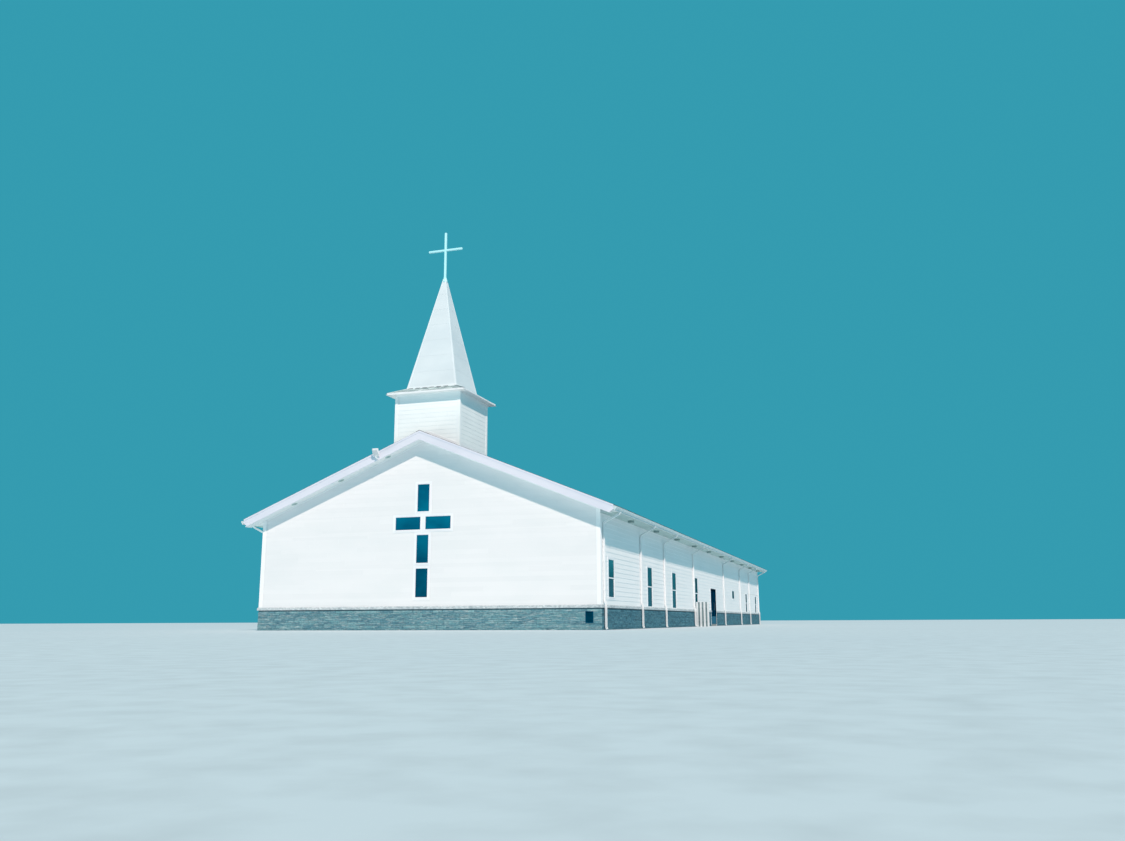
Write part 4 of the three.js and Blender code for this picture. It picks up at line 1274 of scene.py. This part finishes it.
def add_leaf(name, node, hinge_side):
    """A glazed leaf: stiles and rails, a kick plate, a push bar inside and a pull outside."""
    us, vs, ds = RIGHT.spread(node)
    vs = grown(vs, -LEAF.pivot)
    rim, kick, glass = LEAF.rim, LEAF.kick, LEAF.glass
    stiles, panes, plate, fittings = Shape(), Shape(), Shape(), Shape()
    stiles.ring(RIGHT, us, vs, ds, rim, kick, rim)
    inner_us, inner_vs = grown(us, -rim), (vs[0] + kick, vs[1] - rim)
    stiles.ring(RIGHT, inner_us, inner_vs, (ds[0] + LEAF.inset[0], ds[1] - LEAF.inset[1]), LEAF.bead)
    middle = sum(ds) / 2
    panes.block(RIGHT, inner_us, inner_vs, (middle - glass, middle + glass))
    plate_vs = (vs[0] + KICK_PLATE.foot, vs[0] + kick - KICK_PLATE.head)
    plate.block(RIGHT, grown(us, -KICK_PLATE.side), plate_vs, (ds[1], ds[1] + KICK_PLATE.thick))
    free = us[1] - rim / 2 if hinge_side < 0 else us[0] + rim / 2
    sunk, reach = ds[1] - PULL.sunk, ds[1] + PULL.reach
    pull = [(sunk, PULL.foot), (reach, PULL.foot), (reach, PULL.head), (sunk, PULL.head)]
    fittings.pipe(RIGHT, free, rounded(pull, (PULL.bend, PULL.bend)), circle(PULL.radius, 12))
    inside = Face((HALF_WIDTH + ds[0], 0, PUSH_BAR.z), -Y, UP)
    left, right = -us[1], -us[0]
    fittings.block(inside, grown((left, right), -PUSH_BAR.end), PUSH_BAR.vs, PUSH_BAR.ds)
    for start in (left + PUSH_POST.end, right - PUSH_POST.end - PUSH_POST.width):
        fittings.block(inside, (start, start + PUSH_POST.width), PUSH_POST.vs, PUSH_POST.ds)
    piece(stiles, f"{name}_stiles", DOOR_METAL, body=name, replaces=[node])
    piece(panes, f"{name}_pane", DOOR_GLASS, body=name, replaces=[node])
    piece(plate, f"{name}_kick_plate", KICK_METAL, body=name, replaces=[node])
    piece(fittings, f"{name}_fittings", FITTING_METAL, body=name, replaces=[node])


def add_door():
    add_leaf("front_leaf", "door_leaf_front", -1)
    add_leaf("rear_leaf", "door_leaf_rear", 1)
    us, vs, _ = RIGHT.spread("door_frame")
    trim, threshold = Shape(), Shape()
    outer, ds = grown(us, DOOR_CASING.width), (0, DOOR_CASING.proud)
    trim.block(RIGHT, (outer[0], us[0]), (DOOR_CASING.foot, vs[1]), ds)
    trim.block(RIGHT, (us[1], outer[1]), (DOOR_CASING.foot, vs[1]), ds)
    trim.block(RIGHT, outer, (vs[1], vs[1] + DOOR_CASING.head), ds)
    piece(trim, "doorway_casing", TRIM)
    threshold.run(RIGHT, THRESHOLD, grown(us, -THRESHOLD_END))
    piece(threshold, "door_threshold", FLASHING)


LAMP = Sizes(tilt=0.5, depth=0.08, height=0.34, lift=0.12, rim=0.022, lip=0.02, inset=0.02)
HOUSING = Sizes(edge=0.01, back=0.02, front=0.008)
LENS_DROPS = (0.012, 0.006)
FIN = Sizes(count=9, first=0.015, last=0.021, root=0.018, thick=0.006)
LAMP_PLATE = ((-0.07, 0.07), (0, 0.16), (0, 0.03))
LAMP_ARM = ((-0.02, 0.02), (0.06, 0.1), (0, 0.14))
YOKE = Sizes(thick=0.004, vs=(0.06, 0.2), ds=(-0.03, 0.02))


def add_floodlight():
    """Floodlight on a yoke: a finned housing turned up to the steeple, with a lens in a rim."""
    low, high = real("floodlight")
    middle, half = (low[0] + high[0]) / 2, (high[0] - low[0]) / 2
    front, height, inset = LAMP.depth / 2, LAMP.height, LAMP.inset
    sine, cosine = math.sin(LAMP.tilt), math.cos(LAMP.tilt)
    up, out = np.array([0, -sine, cosine]), np.array([0, cosine, sine])
    centre = np.array([middle, low[1] + (front * cosine + height * sine), low[2] + LAMP.lift])
    lamp = Face(centre, np.cross(up, out), up)
    us, vs, edge = (-half, half), (0, height), HOUSING.edge
    inner_vs = grown(vs, -inset)
    body, lens = Shape(), Shape()
    body.block(lamp, grown(us, -edge), grown(vs, -edge), (-HOUSING.back, front - HOUSING.front))
    body.ring(lamp, us, vs, (front - LAMP.lip, front), LAMP.rim)
    fins = np.linspace(-half + FIN.first, half - FIN.last, FIN.count)
    body.block(lamp, (fins, fins + FIN.thick), inner_vs, (-front, -FIN.root))
    lens.block(lamp, grown(us, -inset), inner_vs, [front - drop for drop in LENS_DROPS])
    board = Face((middle, -RAKE_REACH, low[2]), X, UP)
    body.block(board, *LAMP_PLATE)
    body.block(board, *LAMP_ARM)
    for side in (-1, 1):
        edge = side * (half - YOKE.thick)
        body.block(lamp, sorted((edge, edge + side * YOKE.thick)), YOKE.vs, YOKE.ds)
    piece(body, "floodlight_housing", LAMP_METAL, replaces=["floodlight"])
    piece(lens, "floodlight_lens", LAMP_GLASS, replaces=["floodlight"])


SCREEN = Sizes(middle=0.04, count=4, first=0.07, step=0.209, width=0.11, bevel=0.012, drop=0.004)
WHITE_DS = (0.02, 0.04)
BACK_BOARD_DS = (-0.04, -0.02)
RAIL = Sizes(height=0.09, ds=(-0.02, 0.02))
RAILS = ((0.3, BASE_PROUD), (1.05, 0))


def add_screen():
    """Slatted screen: white boards in front of two rails, and back boards between them whose grey is painted
    shade.
    """
    low, high = real("slatted_screen")
    face = Face((low[0], low[1] + SCREEN.middle, 0), X, UP)
    white, grey = Shape(), Shape()
    step, width, bevel = SCREEN.step, SCREEN.width, SCREEN.bevel
    top = high[2]
    ledge = RIGHT.spread("stone_ledge")[2][1]
    for number in range(SCREEN.count):
        start = SCREEN.first + number * step
        left, right = max(start, ledge), start + width
        outline = [(left, 0), (right, 0), (right, top - bevel), (right - bevel, top), (left + bevel, top)]
        white.plate(face, [*outline, (left, top - bevel)], WHITE_DS)
        if number < SCREEN.count - 1:
            behind = start + step / 2
            grey.block(face, (behind, behind + width), (0, top - SCREEN.drop), BACK_BOARD_DS)
    for foot, start in RAILS:
        grey.block(face, (start, high[0] - low[0]), (foot, foot + RAIL.height), RAIL.ds)
    piece(white, "screen_boards", SCREEN_BOARDS, replaces=["slatted_screen"])
    piece(grey, "screen_back_boards", BACK_BOARDS_PAINTED_SHADE, replaces=["slatted_screen"])


add_camera()
add_light()
add_floor()
finish_nodes()
add_hall_siding()
add_corner_boards()
add_windows()
add_base()
add_ledge()
add_vent()
add_roof()
add_rake_boards()
add_soffits()
add_gutters()
add_tower()
add_skirt()
add_spire()
add_cross()
add_door()
add_floodlight()
add_screen()
